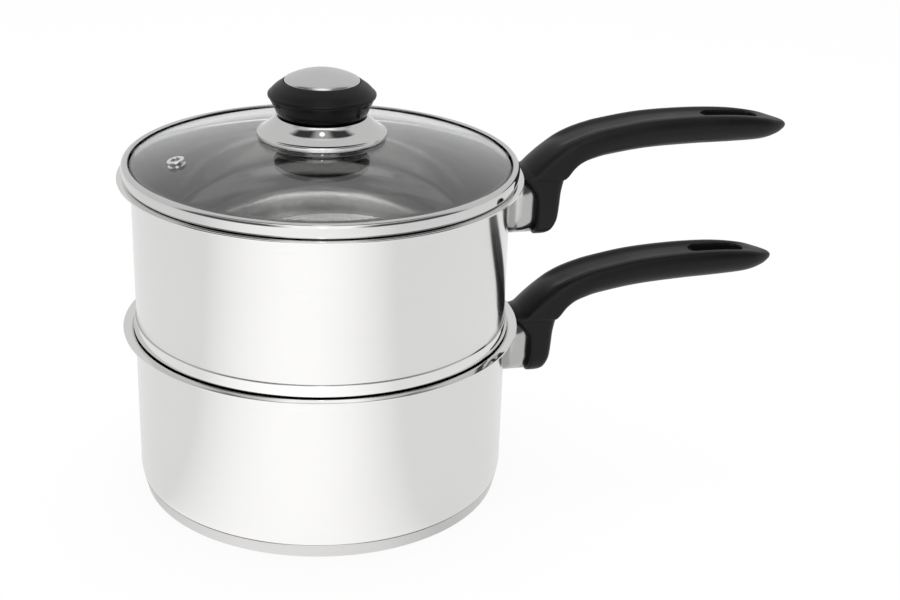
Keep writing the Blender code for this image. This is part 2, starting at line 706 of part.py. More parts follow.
def make_knob_fixings():
    """The silicone washers either side of the glass, and the washer and screw that clamp them."""
    hole = KNOB_SCREW_RADIUS + CLEARANCE
    upper = gasket_levels()[0]
    new_part(
        "knob_gasket_upper",
        washer_mesh("knob_gasket_upper", hole, GASKET_RADIUS, upper, GASKET_THICKNESS),
        SILICONE,
    )
    under_glass = glass_height(GASKET_RADIUS, GLASS_CROWN_RADIUS - GLASS_THICKNESS)
    lower = under_glass - CLEARANCE - GASKET_THICKNESS
    new_part(
        "knob_gasket_lower",
        washer_mesh("knob_gasket_lower", hole, GASKET_RADIUS, lower, GASKET_THICKNESS),
        SILICONE,
    )
    washer = lower - CLEARANCE - WASHER_THICKNESS
    new_part(
        "knob_washer",
        washer_mesh("knob_washer", hole, WASHER_RADIUS, washer, WASHER_THICKNESS),
        ZINC_STEEL,
    )
    seat = washer - CLEARANCE
    profile = [(0.0, seat + KNOB_SCREW_LENGTH), (KNOB_SCREW_RADIUS, seat + KNOB_SCREW_LENGTH)]
    profile += [(KNOB_SCREW_RADIUS, seat), (KNOB_HEAD_RADIUS, seat)]
    profile += [(KNOB_HEAD_RADIUS, seat - KNOB_HEAD_HEIGHT / 2)]
    face = seat - KNOB_HEAD_HEIGHT
    profile += [(KNOB_HEAD_RADIUS * HEAD_FACE_SHARE, face), (0.0, face)]
    screw = new_part("knob_screw", turned_mesh("knob_screw", profile, SMALL_SIDES), ZINC_STEEL)
    cut_cross(screw, (0.0, 0.0, face), "Z")


def cut_cross(screw, face, axis):
    """A cross recess in a screw's head, about the point where its axis meets the head's face."""
    arm = BOLT_HEAD_RADIUS * RECESS_SHARE
    half = BOLT_RECESS_WIDTH / 2
    deep = BOLT_RECESS_DEPTH
    arms = ((arm, half), (half, arm))
    for index, (first, second) in enumerate(arms):
        if axis == "Z":
            size = (first, second, deep)
        else:
            size = (deep, first, second)
        low = [centre - reach for centre, reach in zip(face, size)]
        high = [centre + reach for centre, reach in zip(face, size)]
        name = f"{screw.name}_recess_{index}"
        cut(screw, new_cutter(name, box_mesh(name, low, high)))


def grip_mesh(name, nose, rim_top, tilt):
    """The grip: sections across X from the nose at the rim to the tip, with a channel along the top."""
    rings = []
    channel_end = GRIP_LENGTH - CHANNEL_END
    edge = GRIP_SECTION[1][0]
    for share, top, underside, half, crown, square in smooth_rows(GRIP_ROWS, HANDLE_STEPS):
        out = share * GRIP_LENGTH
        half_width = half * GRIP_HALF_WIDTH
        drop = crown * GRIP_RISE
        into = min(out - CHANNEL_START, channel_end - out) / CHANNEL_RUN
        depth = CHANNEL_DEPTH * min(max(into, 0.0), 1.0)
        high = rim_top + top * GRIP_RISE + out * math.tan(tilt)
        height = (top - underside) * GRIP_RISE
        bend, bend_share = CHANNEL_BEND
        floor = high - bend_share * depth - drop * (bend / edge) ** 2
        side = [(0.0, high - depth), (bend * half_width, floor)]
        for rounded, squared in zip(GRIP_SECTION, NOSE_SECTION):
            across, down = (soft + square * (hard - soft) for soft, hard in zip(rounded, squared))
            fall = down * height + (1 - down) * drop * (across / edge) ** 2
            side.append((across * half_width, high - fall))
        side.append((0.0, high - height))
        ring = [(nose + out, y, z) for y, z in side]
        ring += [(nose + out, -y, z) for y, z in reversed(side[1:-1])]
        rings.append(ring)
    return loft_mesh(name, rings)


def leg_mesh(name, nose, foot, rim_top):
    """The leg: level sections from its foot, beside the ferrule, up into the grip's nose."""
    rings = []
    half_width = FERRULE_WIDTH / 2 + LEG_WALL
    for share, inner, outer, wide in smooth_rows(LEG_ROWS, 1):
        height = foot + share * (rim_top - foot)
        near = nose + inner * LEG_FACE
        far = nose + LEG_FACE + (1 + outer) * LEG_DEPTH
        ring = []
        for index in range(LEG_SIDES):
            turn = 2 * math.pi * (index + 0.5) / LEG_SIDES
            power = 2 / (LEG_SQUARENESS if math.cos(turn) > 0 else LEG_FACE_SQUARENESS)
            across = math.copysign(abs(math.cos(turn)) ** power, math.cos(turn))
            aside = math.copysign(abs(math.sin(turn)) ** power, math.sin(turn))
            ring.append(((near + far) / 2 + across * (far - near) / 2, aside * wide * half_width, height))
        rings.append(ring)
    return loft_mesh(name, rings)


def make_handle(tier, wall_radius, rim_top, tilt):
    """One handle with its ferrule, bracket, screw and washer, on the tier whose rim is at rim_top."""
    ferrule_top = rim_top - FERRULE_DROP
    bolt_height = ferrule_top - FERRULE_HEIGHT / 2
    foot = ferrule_top - FERRULE_HEIGHT - LEG_LIP
    leg_face = RIM_RADIUS + LEG_FACE
    socket_end = leg_face + SOCKET_DEPTH
    ferrule_end = socket_end - CLEARANCE
    seat = socket_end + BOLT_SEAT_WALL
    rear = leg_face + LEG_DEPTH * 2
    wall_cutter = new_cutter(
        f"{tier}_wall",
        rod_mesh(f"{tier}_wall", wall_radius + CLEARANCE, (0, 0, foot), (0, 0, rim_top), POT_SIDES),
    )

    grip = grip_mesh(f"{tier}_handle", RIM_RADIUS, rim_top, tilt)
    handle = new_part(f"{tier}_handle", grip, PHENOLIC)
    leg = new_cutter(f"{tier}_leg", leg_mesh(f"{tier}_leg", RIM_RADIUS, foot, rim_top))
    join_or_cut(handle, leg, "UNION")
    rim_cutter = rod_mesh(
        f"{tier}_rim", RIM_RADIUS + CLEARANCE, (0, 0, foot), (0, 0, rim_top + FERRULE_DROP), POT_SIDES
    )
    cut(handle, new_cutter(f"{tier}_rim", rim_cutter))
    socket = stadium_mesh(
        f"{tier}_socket",
        FERRULE_WIDTH + 2 * CLEARANCE,
        FERRULE_HEIGHT + 2 * CLEARANCE,
        wall_radius,
        socket_end,
    )
    cut(handle, new_cutter(f"{tier}_socket", moved(socket, bolt_height)))
    cut(handle, new_cutter(f"{tier}_slot", slot_mesh(f"{tier}_slot", rim_top)))
    bore = rod_mesh(
        f"{tier}_bolt_bore",
        BOLT_RADIUS + BOLT_CLEARANCE,
        (leg_face, 0, bolt_height),
        (rear, 0, bolt_height),
    )
    cut(handle, new_cutter(f"{tier}_bolt_bore", bore))
    counterbore = rod_mesh(
        f"{tier}_counterbore", COUNTERBORE_RADIUS, (seat, 0, bolt_height), (rear, 0, bolt_height)
    )
    cut(handle, new_cutter(f"{tier}_counterbore", counterbore))

    inside = wall_radius * CUT_START
    tube = stadium_mesh(f"{tier}_ferrule", FERRULE_WIDTH, FERRULE_HEIGHT, inside, ferrule_end)
    ferrule = new_part(f"{tier}_ferrule", moved(tube, bolt_height), MIRROR_STEEL)
    hollow = stadium_mesh(
        f"{tier}_ferrule_hollow",
        FERRULE_WIDTH - 2 * FERRULE_SHEET,
        FERRULE_HEIGHT - 2 * FERRULE_SHEET,
        inside - FERRULE_SHEET,
        rear,
    )
    cut(ferrule, new_cutter(f"{tier}_ferrule_hollow", moved(hollow, bolt_height)))
    cut(ferrule, wall_cutter)

    make_bracket(tier, wall_radius, ferrule_end, bolt_height, wall_cutter)
    make_bolt(tier, seat, bolt_height)


def slot_mesh(name, rim_top):
    """The hanging slot: an oval with round ends, straight down through the grip near its tip."""
    radius = SLOT_WIDTH / 2
    far = RIM_RADIUS + GRIP_LENGTH - SLOT_TO_TIP - radius
    near = far - SLOT_LENGTH + SLOT_WIDTH
    outline = arc((far, 0.0), radius, -90, 90, OVAL_STEPS) + arc((near, 0.0), radius, 90, 270, OVAL_STEPS)
    return loft_mesh(name, [[(x, y, z) for x, y in outline] for z in (rim_top, rim_top + 2 * GRIP_RISE)])


def moved(mesh, height):
    """The mesh lifted by a height."""
    for vertex in mesh.vertices:
        vertex.co.z += height
    return mesh


def make_bracket(tier, wall_radius, end, height, wall_cutter):
    """A plate that hugs the wall, with a block on it that the handle's screw goes into."""
    inside = wall_radius * CUT_START
    plate_end = wall_radius + CLEARANCE + BRACKET_PLATE
    plate_low = (inside, -BRACKET_PLATE_WIDTH / 2, height - BRACKET_PLATE_HEIGHT / 2)
    plate_high = (plate_end, BRACKET_PLATE_WIDTH / 2, height + BRACKET_PLATE_HEIGHT / 2)
    name = f"{tier}_handle_bracket"
    bracket = new_part(name, box_mesh(name, plate_low, plate_high), ZINC_STEEL)
    block_low = (inside, -BRACKET_WIDTH / 2, height - BRACKET_HEIGHT / 2)
    block_high = (end, BRACKET_WIDTH / 2, height + BRACKET_HEIGHT / 2)
    block = new_cutter(f"{tier}_block", box_mesh(f"{tier}_block", block_low, block_high))
    join_or_cut(bracket, block, "UNION")
    cut(bracket, wall_cutter)
    hole_start = wall_radius + CLEARANCE + BRACKET_HOLE_END
    thread = rod_mesh(
        f"{tier}_thread",
        BOLT_RADIUS + BOLT_CLEARANCE,
        (hole_start, 0, height),
        (end + BOLT_LENGTH, 0, height),
    )
    cut(bracket, new_cutter(f"{tier}_thread", thread))


def make_bolt(tier, seat, height):
    """The handle's screw along X, and the split spring washer under its head."""
    washer_start = seat + CLEARANCE
    washer_end = washer_start + SPRING_WASHER_THICKNESS
    hole = BOLT_RADIUS + BOLT_CLEARANCE
    flat = washer_mesh(f"{tier}_screw_washer", hole, SPRING_WASHER_RADIUS, 0.0, SPRING_WASHER_THICKNESS)
    washer = new_part(f"{tier}_screw_washer", flat, ZINC_STEEL)
    washer.location = (washer_start, 0.0, height)
    washer.rotation_euler = (0.0, math.radians(90), 0.0)
    half = SPRING_WASHER_SPLIT / 2
    split = box_mesh(
        f"{tier}_washer_split",
        (washer_start - half, -half, height),
        (washer_end + half, half, height + 2 * SPRING_WASHER_RADIUS),
    )
    cut(washer, new_cutter(f"{tier}_washer_split", split))

    head = washer_end + CLEARANCE
    profile = [(0.0, BOLT_HEAD_HEIGHT), (BOLT_HEAD_RADIUS * HEAD_FACE_SHARE, BOLT_HEAD_HEIGHT)]
    profile += [(BOLT_HEAD_RADIUS, BOLT_HEAD_HEIGHT / 2), (BOLT_HEAD_RADIUS, 0.0), (BOLT_RADIUS, 0.0)]
    profile += [(BOLT_RADIUS, -BOLT_LENGTH), (0.0, -BOLT_LENGTH)]
    mesh = turned_mesh(f"{tier}_handle_screw", profile, SMALL_SIDES)
    screw = new_part(f"{tier}_handle_screw", mesh, ZINC_STEEL)
    screw.location = (head, 0.0, height)
    screw.rotation_euler = (0.0, math.radians(90), 0.0)
    cut_cross(screw, (head + BOLT_HEAD_HEIGHT, 0.0, height), "X")


make_base(make_pan())
make_handle("pan", PAN_RADIUS, PAN_HEIGHT + PAN_HANDLE_LIFT, PAN_HANDLE_TILT)
make_steamer()
make_handle("steamer", STEAMER_RADIUS, STEAMER_TOP, STEAMER_HANDLE_TILT)
make_glass()
make_vent()
make_lid_rim()
make_knob_skirt()
make_knob()
make_knob_fixings()
print(f"{len(PARTS.objects)} pieces, lid crest at {LID_CREST:.4f} m, glass apex at {GLASS_APEX:.4f} m")
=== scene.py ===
# %% [markdown]
# A steamer pot is two drawn steel pans and a glass lid, all turned about one upright axis, with two
# moulded handles held off the walls by short steel tubes. Almost every piece can be made as a metalworker
# makes it: draw half of its outline once and spin it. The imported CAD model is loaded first, because it
# fixes where each piece goes and which body carries it.

# %% Load the fixed frame
import math

import bmesh
import bpy
from mathutils import Matrix, Vector


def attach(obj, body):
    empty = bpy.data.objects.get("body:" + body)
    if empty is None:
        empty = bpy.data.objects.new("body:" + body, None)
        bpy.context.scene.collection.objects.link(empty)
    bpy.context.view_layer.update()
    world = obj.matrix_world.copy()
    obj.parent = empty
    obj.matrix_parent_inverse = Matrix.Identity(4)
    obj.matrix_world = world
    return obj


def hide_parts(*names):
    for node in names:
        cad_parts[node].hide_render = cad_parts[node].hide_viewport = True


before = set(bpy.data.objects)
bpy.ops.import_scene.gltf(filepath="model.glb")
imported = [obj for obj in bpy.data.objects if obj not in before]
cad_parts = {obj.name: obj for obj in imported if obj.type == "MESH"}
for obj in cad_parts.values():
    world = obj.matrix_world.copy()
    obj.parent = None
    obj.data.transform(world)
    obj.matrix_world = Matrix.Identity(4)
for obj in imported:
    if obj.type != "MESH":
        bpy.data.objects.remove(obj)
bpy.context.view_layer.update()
collection = bpy.context.scene.collection

# %% [markdown]
# The camera stands where the photographer's did: a little above the lid, looking down on it, with a long
# lens. Its place, heading, dip and roll come from the ellipses of the rims. No lens shift is needed.

# %% Camera
CAMERA_PLACE = (-0.1368, -0.72745, 0.4052)
CAMERA_HEADING = math.radians(15.57)
CAMERA_DIP = math.radians(22.78)
CAMERA_ROLL = math.radians(1.98)
LENS_LENGTH = 64.6
SENSOR_WIDTH = 36.0
NEAREST = 0.01

camera_data = bpy.data.cameras.new("camera")
camera_data.lens = LENS_LENGTH
camera_data.sensor_width = SENSOR_WIDTH
camera_data.clip_start = NEAREST
camera = bpy.data.objects.new("camera", camera_data)
camera.matrix_world = (
    Matrix.Translation(CAMERA_PLACE)
    @ Matrix.Rotation(-CAMERA_HEADING, 4, "Z")
    @ Matrix.Rotation(math.radians(90) - CAMERA_DIP, 4, "X")
    @ Matrix.Rotation(CAMERA_ROLL, 4, "Z")
)
collection.objects.link(camera)
bpy.context.scene.camera = camera
bpy.context.scene.view_settings.view_transform = "Standard"
print("camera at", tuple(round(value, 3) for value in camera.location))

# %% [markdown]
# Polished steel has hardly any colour of its own, so what stands round it is what it looks like. A pot is
# photographed on a white table in a tent of soft light, with the darker room behind the camera: that room
# gives the flanges their black lines. Here the world's tone depends on where a reflected ray points: pale
# all round, dark towards the camera, bright in the middle of that, and dark again in a bar overhead.
# A pale disc is the table, and two round lamps light the pot.

# %% Nodes, the short way
def add_node(tree, kind, settings=None, **sockets):
    """A node with its settings, whose sockets, by name or as _ and a number, are set or linked."""
    node = tree.nodes.new("ShaderNode" + kind)
    for name, value in (settings or {}).items():
        setattr(node, name, value)
    for name, value in sockets.items():
        key = int(name[1:]) if name[0] == "_" else name.replace("_", " ")
        if isinstance(value, bpy.types.NodeSocket):
            tree.links.new(value, node.inputs[key])
        else:
            node.inputs[key].default_value = value
    return node


def soft_step(tree, value, low, high):
    """0 below one value, 1 above another, and an even rise between them."""
    settings = {"interpolation_type": "SMOOTHSTEP"}
    return add_node(tree, "MapRange", settings, _0=value, _1=low, _2=high, _3=0.0, _4=1.0).outputs[0]


def math_node(tree, operation, first, second=0.0):
    """The output of a sum, product or other operation."""
    return add_node(tree, "Math", {"operation": operation}, _0=first, _1=second).outputs[0]


def ray_kinds(tree):
    """1 for a ray that sees the place itself, if need be through glass; 1 for one off steel or glass."""
    ray = add_node(tree, "LightPath").outputs
    unturned = math_node(tree, "LESS_THAN", ray["Glossy Depth"], 0.5)
    through = math_node(tree, "MULTIPLY", ray["Is Transmission Ray"], unturned)
    straight = math_node(tree, "MAXIMUM", ray["Is Camera Ray"], through)
    glossy = math_node(tree, "MAXIMUM", ray["Is Glossy Ray"], ray["Is Transmission Ray"])
    return straight, glossy


# %% The tent of light
CAMERA_SIDE = (-0.185, -0.983, 0.0)
RIGHT_SIDE = (0.983, -0.185, 0.0)
LAMP_SIDE = (-0.062, -0.329, 0.942)
PALE_TONE = 0.72
DARK_TONE = 0.10
MIDDLE_TONE = 1.35
BAR_TONE = 0.05
PATCH_TONE = 0.45
LAMP_TONE = 2.0

world = bpy.data.worlds.new("light_tent")
bpy.context.scene.world = world
world.use_nodes = True
tent = world.node_tree
tent.nodes.clear()
ray_direction = add_node(tent, "TexCoord").outputs["Generated"]


def along(side):
    """How far the ray's direction points to a side."""
    settings = {"operation": "DOT_PRODUCT"}
    return add_node(tent, "VectorMath", settings, _0=ray_direction, _1=side).outputs["Value"]


def soft_edge(value, low, high):
    """0 on one side of a soft edge in the tent, and 1 on the other."""
    return soft_step(tent, value, low, high)


def product(*factors):
    """All the factors multiplied, which is where their regions overlap."""
    result = factors[0]
    for factor in factors[1:]:
        result = math_node(tent, "MULTIPLY", result, factor)
    return result


def toned(share, tone, new_tone):
    """A tone with this share of another mixed in."""
    return add_node(tent, "Mix", {"data_type": "FLOAT"}, _0=share, _2=tone, _3=new_tone).outputs[0]


height = add_node(tent, "SeparateXYZ", _0=ray_direction).outputs["Z"]
toward = along(CAMERA_SIDE)
aside = math_node(tent, "ABSOLUTE", along(RIGHT_SIDE))
bend = math_node(tent, "MULTIPLY", math_node(tent, "POWER", aside, 2.0), 0.9)
across = math_node(tent, "ADD", toward, bend)

level = product(soft_edge(height, 0.06, 0.14), soft_edge(height, 0.80, 0.62))
dark = product(soft_edge(toward, -0.05, 0.20), level)
middle = product(soft_edge(aside, 0.50, 0.22), soft_edge(toward, 0.05, 0.40))
strip = product(soft_edge(across, 0.17, 0.23), soft_edge(across, 0.50, 0.43))
bar = product(strip, soft_edge(aside, 0.68, 0.54), soft_edge(height, 0.70, 0.78))
patch = product(bar, soft_edge(aside, 0.30, 0.10))
lamp_spot = soft_edge(along(LAMP_SIDE), 0.9960, 0.9992)

tone = toned(dark, PALE_TONE, DARK_TONE)
tone = toned(middle, tone, MIDDLE_TONE)
tone = toned(bar, tone, BAR_TONE)
tone = toned(patch, tone, PATCH_TONE)
tone = toned(lamp_spot, tone, LAMP_TONE)
room = add_node(tent, "Background", Color=(1, 1, 1, 1), Strength=tone)
backdrop = add_node(tent, "Background", Color=(1, 1, 1, 1), Strength=1.0)
choice = add_node(tent, "MixShader", _0=ray_kinds(tent)[0], _1=room.outputs[0], _2=backdrop.outputs[0])
add_node(tent, "OutputWorld", Surface=choice.outputs[0])
print("tent of light set")

# %% [markdown]
# The table shows white to the camera, and steel shows it a little brighter in front of the pot, where a
# painted pool of light lies in its glow. Elsewhere it is plain cloth, so that the pot's soft shadow falls on
# it.

# %% The table, with a painted pool of light in front of the pot
TABLE_RADIUS = 15.0
POOL_SIDE = (-0.401, -0.916, 0.0)
POOL_EDGE = 0.60
POOL_GAIN = 0.42
TABLE_IN_STEEL = 0.86
GLOW_SHARE = 0.92

table_material = bpy.data.materials.new("pale_table")
table_material.use_nodes = True
table_tree = table_material.node_tree
table_tree.nodes.clear()
straight, glossy = ray_kinds(table_tree)
place = add_node(table_tree, "TexCoord")
# The painted pool of light: the glow that steel sees is brighter on the table's side in front of the pot
side = add_node(table_tree, "VectorMath", {"operation": "NORMALIZE"}, _0=place.outputs["Object"])
facing = add_node(table_tree, "VectorMath", {"operation": "DOT_PRODUCT"}, _0=side.outputs[0], _1=POOL_SIDE)
painted_pool = add_node(table_tree, "MapRange", _0=facing.outputs["Value"], _1=POOL_EDGE, _2=1.0)
add_up = {"operation": "MULTIPLY_ADD"}
mirrored = add_node(table_tree, "Math", add_up, _0=painted_pool.outputs[0], _1=POOL_GAIN, _2=TABLE_IN_STEEL)
glow_level = add_node(table_tree, "Mix", {"data_type": "FLOAT"}, _0=straight, _2=mirrored.outputs[0], _3=1.0)
glow = add_node(table_tree, "Emission", Color=(1, 1, 1, 1), Strength=glow_level.outputs[0])
cloth = add_node(table_tree, "BsdfDiffuse", Color=(0.88, 0.88, 0.88, 1))
share = math_node(table_tree, "MULTIPLY", math_node(table_tree, "MAXIMUM", straight, glossy), GLOW_SHARE)
mixed = add_node(table_tree, "MixShader", _0=share, _1=cloth.outputs[0], _2=glow.outputs[0])
add_node(table_tree, "OutputMaterial", Surface=mixed.outputs[0])

table_shape = bmesh.new()
bmesh.ops.create_circle(table_shape, cap_ends=True, segments=96, radius=TABLE_RADIUS)
table_mesh = bpy.data.meshes.new("table")
table_shape.to_mesh(table_mesh)
table_shape.free()
table_mesh.materials.append(table_material)
table = bpy.data.objects.new("table", table_mesh)
collection.objects.link(table)
print("table laid")


# %% Lamps
POT_MIDDLE = Vector((0, 0, 0.1))


def soft_box(name, place, size, strength, mirrored=False):
    """A round lamp that shines on the pot, with this brightness on its face; steel may not show it."""
    data = bpy.data.lights.new(name, "AREA")
    data.shape = "DISK"
    data.size = size
    area = math.pi * (size / 2) ** 2
    data.energy = strength * math.pi * area
    lamp = bpy.data.objects.new(name, data)
    lamp.location = place
    lamp.rotation_euler = (POT_MIDDLE - lamp.location).to_track_quat("-Z", "Y").to_euler()
    lamp.visible_glossy = mirrored
    collection.objects.link(lamp)


soft_box("overhead_box", (0.1, 0.1, 1.5), 1.7, 2.6)
soft_box("front_lamp", (-0.23, -1.22, 0.92), 0.11, 6.0, mirrored=True)
print("lamps hung")

# %% [markdown]
# The walls are stainless steel, finished by turning the pan against a fine belt: the lines run round the
# pot, they are too fine to see one by one, and they spread a reflection up and down more than sideways.
# Stretched noise gives such lines. Height plus radius is the pattern's fast direction, so the lines stay
# rings on a wall, round a corner and across a floor, and x and y, scaled low, vary them slowly around.

# %% Steel finishes
MICROMETRE = 0.000001
SLOW_NOISE = 14.0


def new_finish(name):
    """A node material, its tree and its shader."""
    material = bpy.data.materials.new(name)
    material.use_nodes = True
    tree = material.node_tree
    return material, tree, tree.nodes["Principled BSDF"]


def object_noise(tree, scale, detail, roughness=0.5):
    """Even noise fixed to the piece, with so many waves to the metre."""
    place = add_node(tree, "TexCoord").outputs["Object"]
    noise = add_node(tree, "TexNoise", Vector=place, Scale=scale, Detail=detail, Roughness=roughness)
    return noise.outputs["Fac"]


def ring_noise(tree, lines):
    """Noise in rings about the pot's axis, with so many to the metre across them."""
    place = add_node(tree, "TexCoord")
    parts = add_node(tree, "SeparateXYZ", _0=place.outputs["Object"])
    flat = add_node(tree, "CombineXYZ", _0=parts.outputs["X"], _1=parts.outputs["Y"])
    radius = add_node(tree, "VectorMath", {"operation": "LENGTH"}, _0=flat.outputs[0])
    climb = math_node(tree, "ADD", radius.outputs["Value"], parts.outputs["Z"])
    fast = math_node(tree, "MULTIPLY", climb, lines)
    slow = add_node(tree, "VectorMath", {"operation": "SCALE"}, _0=flat.outputs[0], Scale=SLOW_NOISE)
    slow_parts = add_node(tree, "SeparateXYZ", _0=slow.outputs[0])
    grain = add_node(tree, "CombineXYZ", _0=slow_parts.outputs["X"], _1=slow_parts.outputs["Y"], _2=fast)
    noise = add_node(tree, "TexNoise", Vector=grain.outputs[0], Scale=1.0, Detail=4.0, Roughness=0.6)
    return noise.outputs["Fac"]


def spread(tree, value, low, high):
    """Noise, which stays mostly between 0.3 and 0.7, carried to another range."""
    return add_node(tree, "MapRange", _0=value, _1=0.3, _2=0.7, _3=low, _4=high).outputs[0]


def tint(tree, shader, noise, dark, light):
    """Colours the shader between two tones, by noise."""
    mix = add_node(tree, "Mix", {"data_type": "RGBA"}, _0=spread(tree, noise, 0.0, 1.0))
    mix.inputs[6].default_value = (*dark, 1)
    mix.inputs[7].default_value = (*light, 1)
    tree.links.new(mix.outputs[2], shader.inputs["Base Color"])


def roughen(tree, shader, noise, smooth, rough):
    """Moves the shader's roughness between two values, by noise."""
    tree.links.new(spread(tree, noise, smooth, rough), shader.inputs["Roughness"])


def emboss(tree, shader, noise, strength, depth):
    """Gives the shader a fine relief, by noise."""
    bump = add_node(tree, "Bump", Strength=strength, Distance=depth, Height=noise)
    tree.links.new(bump.outputs["Normal"], shader.inputs["Normal"])


def steel(name, dark, light, roughness, lines, depth, anisotropy=0.0):
    """Brushed metal: two tones, two roughnesses, lines to the metre and their depth in micrometres."""
    material, tree, shader = new_finish(name)
    grain = ring_noise(tree, lines)
    cloud = object_noise(tree, 22.0, 3.0)
    mottle = math_node(tree, "MULTIPLY", grain, 0.6)
    blend = add_node(tree, "Math", {"operation": "MULTIPLY_ADD"}, _0=cloud, _1=0.4, _2=mottle).outputs[0]
    tint(tree, shader, blend, dark, light)
    roughen(tree, shader, blend, *roughness)
    emboss(tree, shader, grain, 1.0, depth * MICROMETRE)
    shader.inputs["Metallic"].default_value = 1.0
    if anisotropy:
        shader.inputs["Anisotropic"].default_value = anisotropy
        shader.inputs["Anisotropic Rotation"].default_value = 0.25
        around = add_node(tree, "Tangent", {"direction_type": "RADIAL", "axis": "Z"})
        tree.links.new(around.outputs[0], shader.inputs["Tangent"])
    return material


SATIN_STEEL = steel(
    "satin_steel", (0.765, 0.76, 0.755), (0.795, 0.79, 0.785), (0.15, 0.18), 2600, 0.4, anisotropy=0.85
)
# Polished steel for the insides, with its colour painted darker than the outside's: painted shade
SHADED_POLISHED_STEEL = steel("shaded_polished_steel", (0.47, 0.465, 0.46), (0.51, 0.505, 0.50), (0.035, 0.05), 900, 0.2)
# The steamer's floor: rougher steel, with its colour painted darker still, as painted shade
SHADED_FLOOR_STEEL = steel("shaded_floor_steel", (0.40, 0.395, 0.39), (0.45, 0.445, 0.44), (0.17, 0.22), 1400, 0.6)
MIRROR_STEEL = steel("mirror_steel", (0.80, 0.80, 0.795), (0.84, 0.84, 0.835), (0.03, 0.05), 500, 0.2)
TRIM_STEEL = steel("trim_steel", (0.66, 0.66, 0.655), (0.70, 0.70, 0.695), (0.04, 0.06), 500, 0.2)
# The ferrules' satin steel, with its colour painted darker than the walls': painted shade
SHADED_FERRULE_STEEL = steel("shaded_ferrule_steel", (0.47, 0.47, 0.465), (0.53, 0.53, 0.525), (0.14, 0.20), 1600, 0.6)
BASE_STEEL = steel(
    "base_steel", (0.57, 0.565, 0.56), (0.62, 0.615, 0.61), (0.22, 0.30), 1800, 1.0, anisotropy=0.5
)
CAP_STEEL = steel(
    "cap_steel", (0.63, 0.63, 0.625), (0.67, 0.67, 0.665), (0.24, 0.28), 3000, 1.0, anisotropy=0.3
)
CORE_ALUMINIUM = steel("core_aluminium", (0.66, 0.67, 0.68), (0.76, 0.77, 0.78), (0.38, 0.5), 1200, 4.0)
FIXING_STEEL = steel("fixing_steel", (0.52, 0.53, 0.55), (0.64, 0.65, 0.66), (0.28, 0.4), 1500, 4.0)
TURNED_BRASS = steel("turned_brass", (0.62, 0.45, 0.20), (0.74, 0.57, 0.29), (0.25, 0.36), 2200, 4.0)
print("steel finishes made")


# %% [markdown]
# The handles and the grip are phenolic, a hard black plastic that comes from a lightly blasted mould. It
# is nearly black with a broad, faint sheen, and close up it has a fine leathery skin. Fine noise moves
# its roughness and its bump, and a coarser one gives the slight cloudiness of a handled piece.

# %% Phenolic, glass and silicone
SKIN_DEPTH = 30 * MICROMETRE


def phenolic(name, tints=(0.0045, 0.0065), roughness=(0.34, 0.44), bend=1.31):
    """Moulded black plastic: two greys, two roughnesses and how far it bends light, which sets its sheen."""
    material, tree, shader = new_finish(name)
    skin = object_noise(tree, 1800.0, 3.0, 0.6)
    cloud = object_noise(tree, 60.0, 4.0)
    dark, light = ((grey, grey, grey * 1.1) for grey in tints)
    tint(tree, shader, cloud, dark, light)
    roughen(tree, shader, cloud, *roughness)
    emboss(tree, shader, skin, 0.35, SKIN_DEPTH)
    shader.inputs["IOR"].default_value = bend
    return material


def clear_glass(name):
    """Polished glass with the faintest smears."""
    material, tree, shader = new_finish(name)
    roughen(tree, shader, object_noise(tree, 35.0, 4.0), 0.0, 0.012)
    shader.inputs["Base Color"].default_value = (0.97, 0.985, 0.98, 1)
    shader.inputs["Transmission Weight"].default_value = 1.0
    shader.inputs["IOR"].default_value = 1.5
    return material


def silicone(name):
    """Grey rubber with a matt skin."""
    material, tree, shader = new_finish(name)
    skin = object_noise(tree, 900.0, 3.0)
    tint(tree, shader, skin, (0.55, 0.55, 0.53), (0.64, 0.64, 0.62))
    emboss(tree, shader, skin, 0.3, SKIN_DEPTH)
    shader.inputs["Roughness"].default_value = 0.55
    return material


BLACK_PHENOLIC = phenolic("black_phenolic")
# For the knob's downward-facing lower cone: darker and with less sheen, as painted shade
SHADED_PHENOLIC = phenolic("shaded_phenolic", (0.0015, 0.0025), (0.12, 0.2), 1.2)
LID_GLASS = clear_glass("clear_glass")
CLEAR_SILICONE = silicone("clear_silicone")
print("phenolic, glass and silicone made")

# %% [markdown]
# A turned piece is an outline of radius and height, spun once round. Straight runs get a point close to
# each bend, which keeps the shading of the flat part flat. Spinning can leave the faces pointing inwards,
# and a wall's thickness would then grow the wrong way, so the faces are turned where most point inwards.

# %% Outlines and turning
POT_STEPS = 240
KNOB_STEPS = 144
SMALL_STEPS = 48
WELD = 0.000002


def arc(centre, radius, start, end, steps=8):
    """Points of (radius, height) along an arc, with angles in degrees from outwards towards up."""
    points = []
    for step in range(steps + 1):
        turn = math.radians(start + (end - start) * step / steps)
        points.append((centre[0] + radius * math.cos(turn), centre[1] + radius * math.sin(turn)))
    return points


def face_outwards(shape):
    """Makes the faces agree, and point away from the axis on the whole."""
    bmesh.ops.recalc_face_normals(shape, faces=shape.faces)
    shape.normal_update()
    lean = sum(
        face.calc_area() * face.normal.xy.dot(face.calc_center_median().xy) for face in shape.faces
    )
    if lean < 0:
        bmesh.ops.reverse_faces(shape, faces=shape.faces)


def turned(outline, steps=POT_STEPS, closed=False):
    """A skin made by spinning an outline of (radius, height) points about the upright axis."""
    shape = bmesh.new()
    points = [shape.verts.new((radius, 0.0, height)) for radius, height in outline]
    lines = [shape.edges.new(pair) for pair in zip(points, points[1:])]
    if closed:
        lines.append(shape.edges.new((points[-1], points[0])))
    bmesh.ops.spin(
        shape,
        geom=points + lines,
        cent=(0, 0, 0),
        axis=(0, 0, 1),
        angle=2 * math.pi,
        steps=steps,
        use_merge=True,
    )
    bmesh.ops.remove_doubles(shape, verts=shape.verts, dist=WELD)
    face_outwards(shape)
    return shape


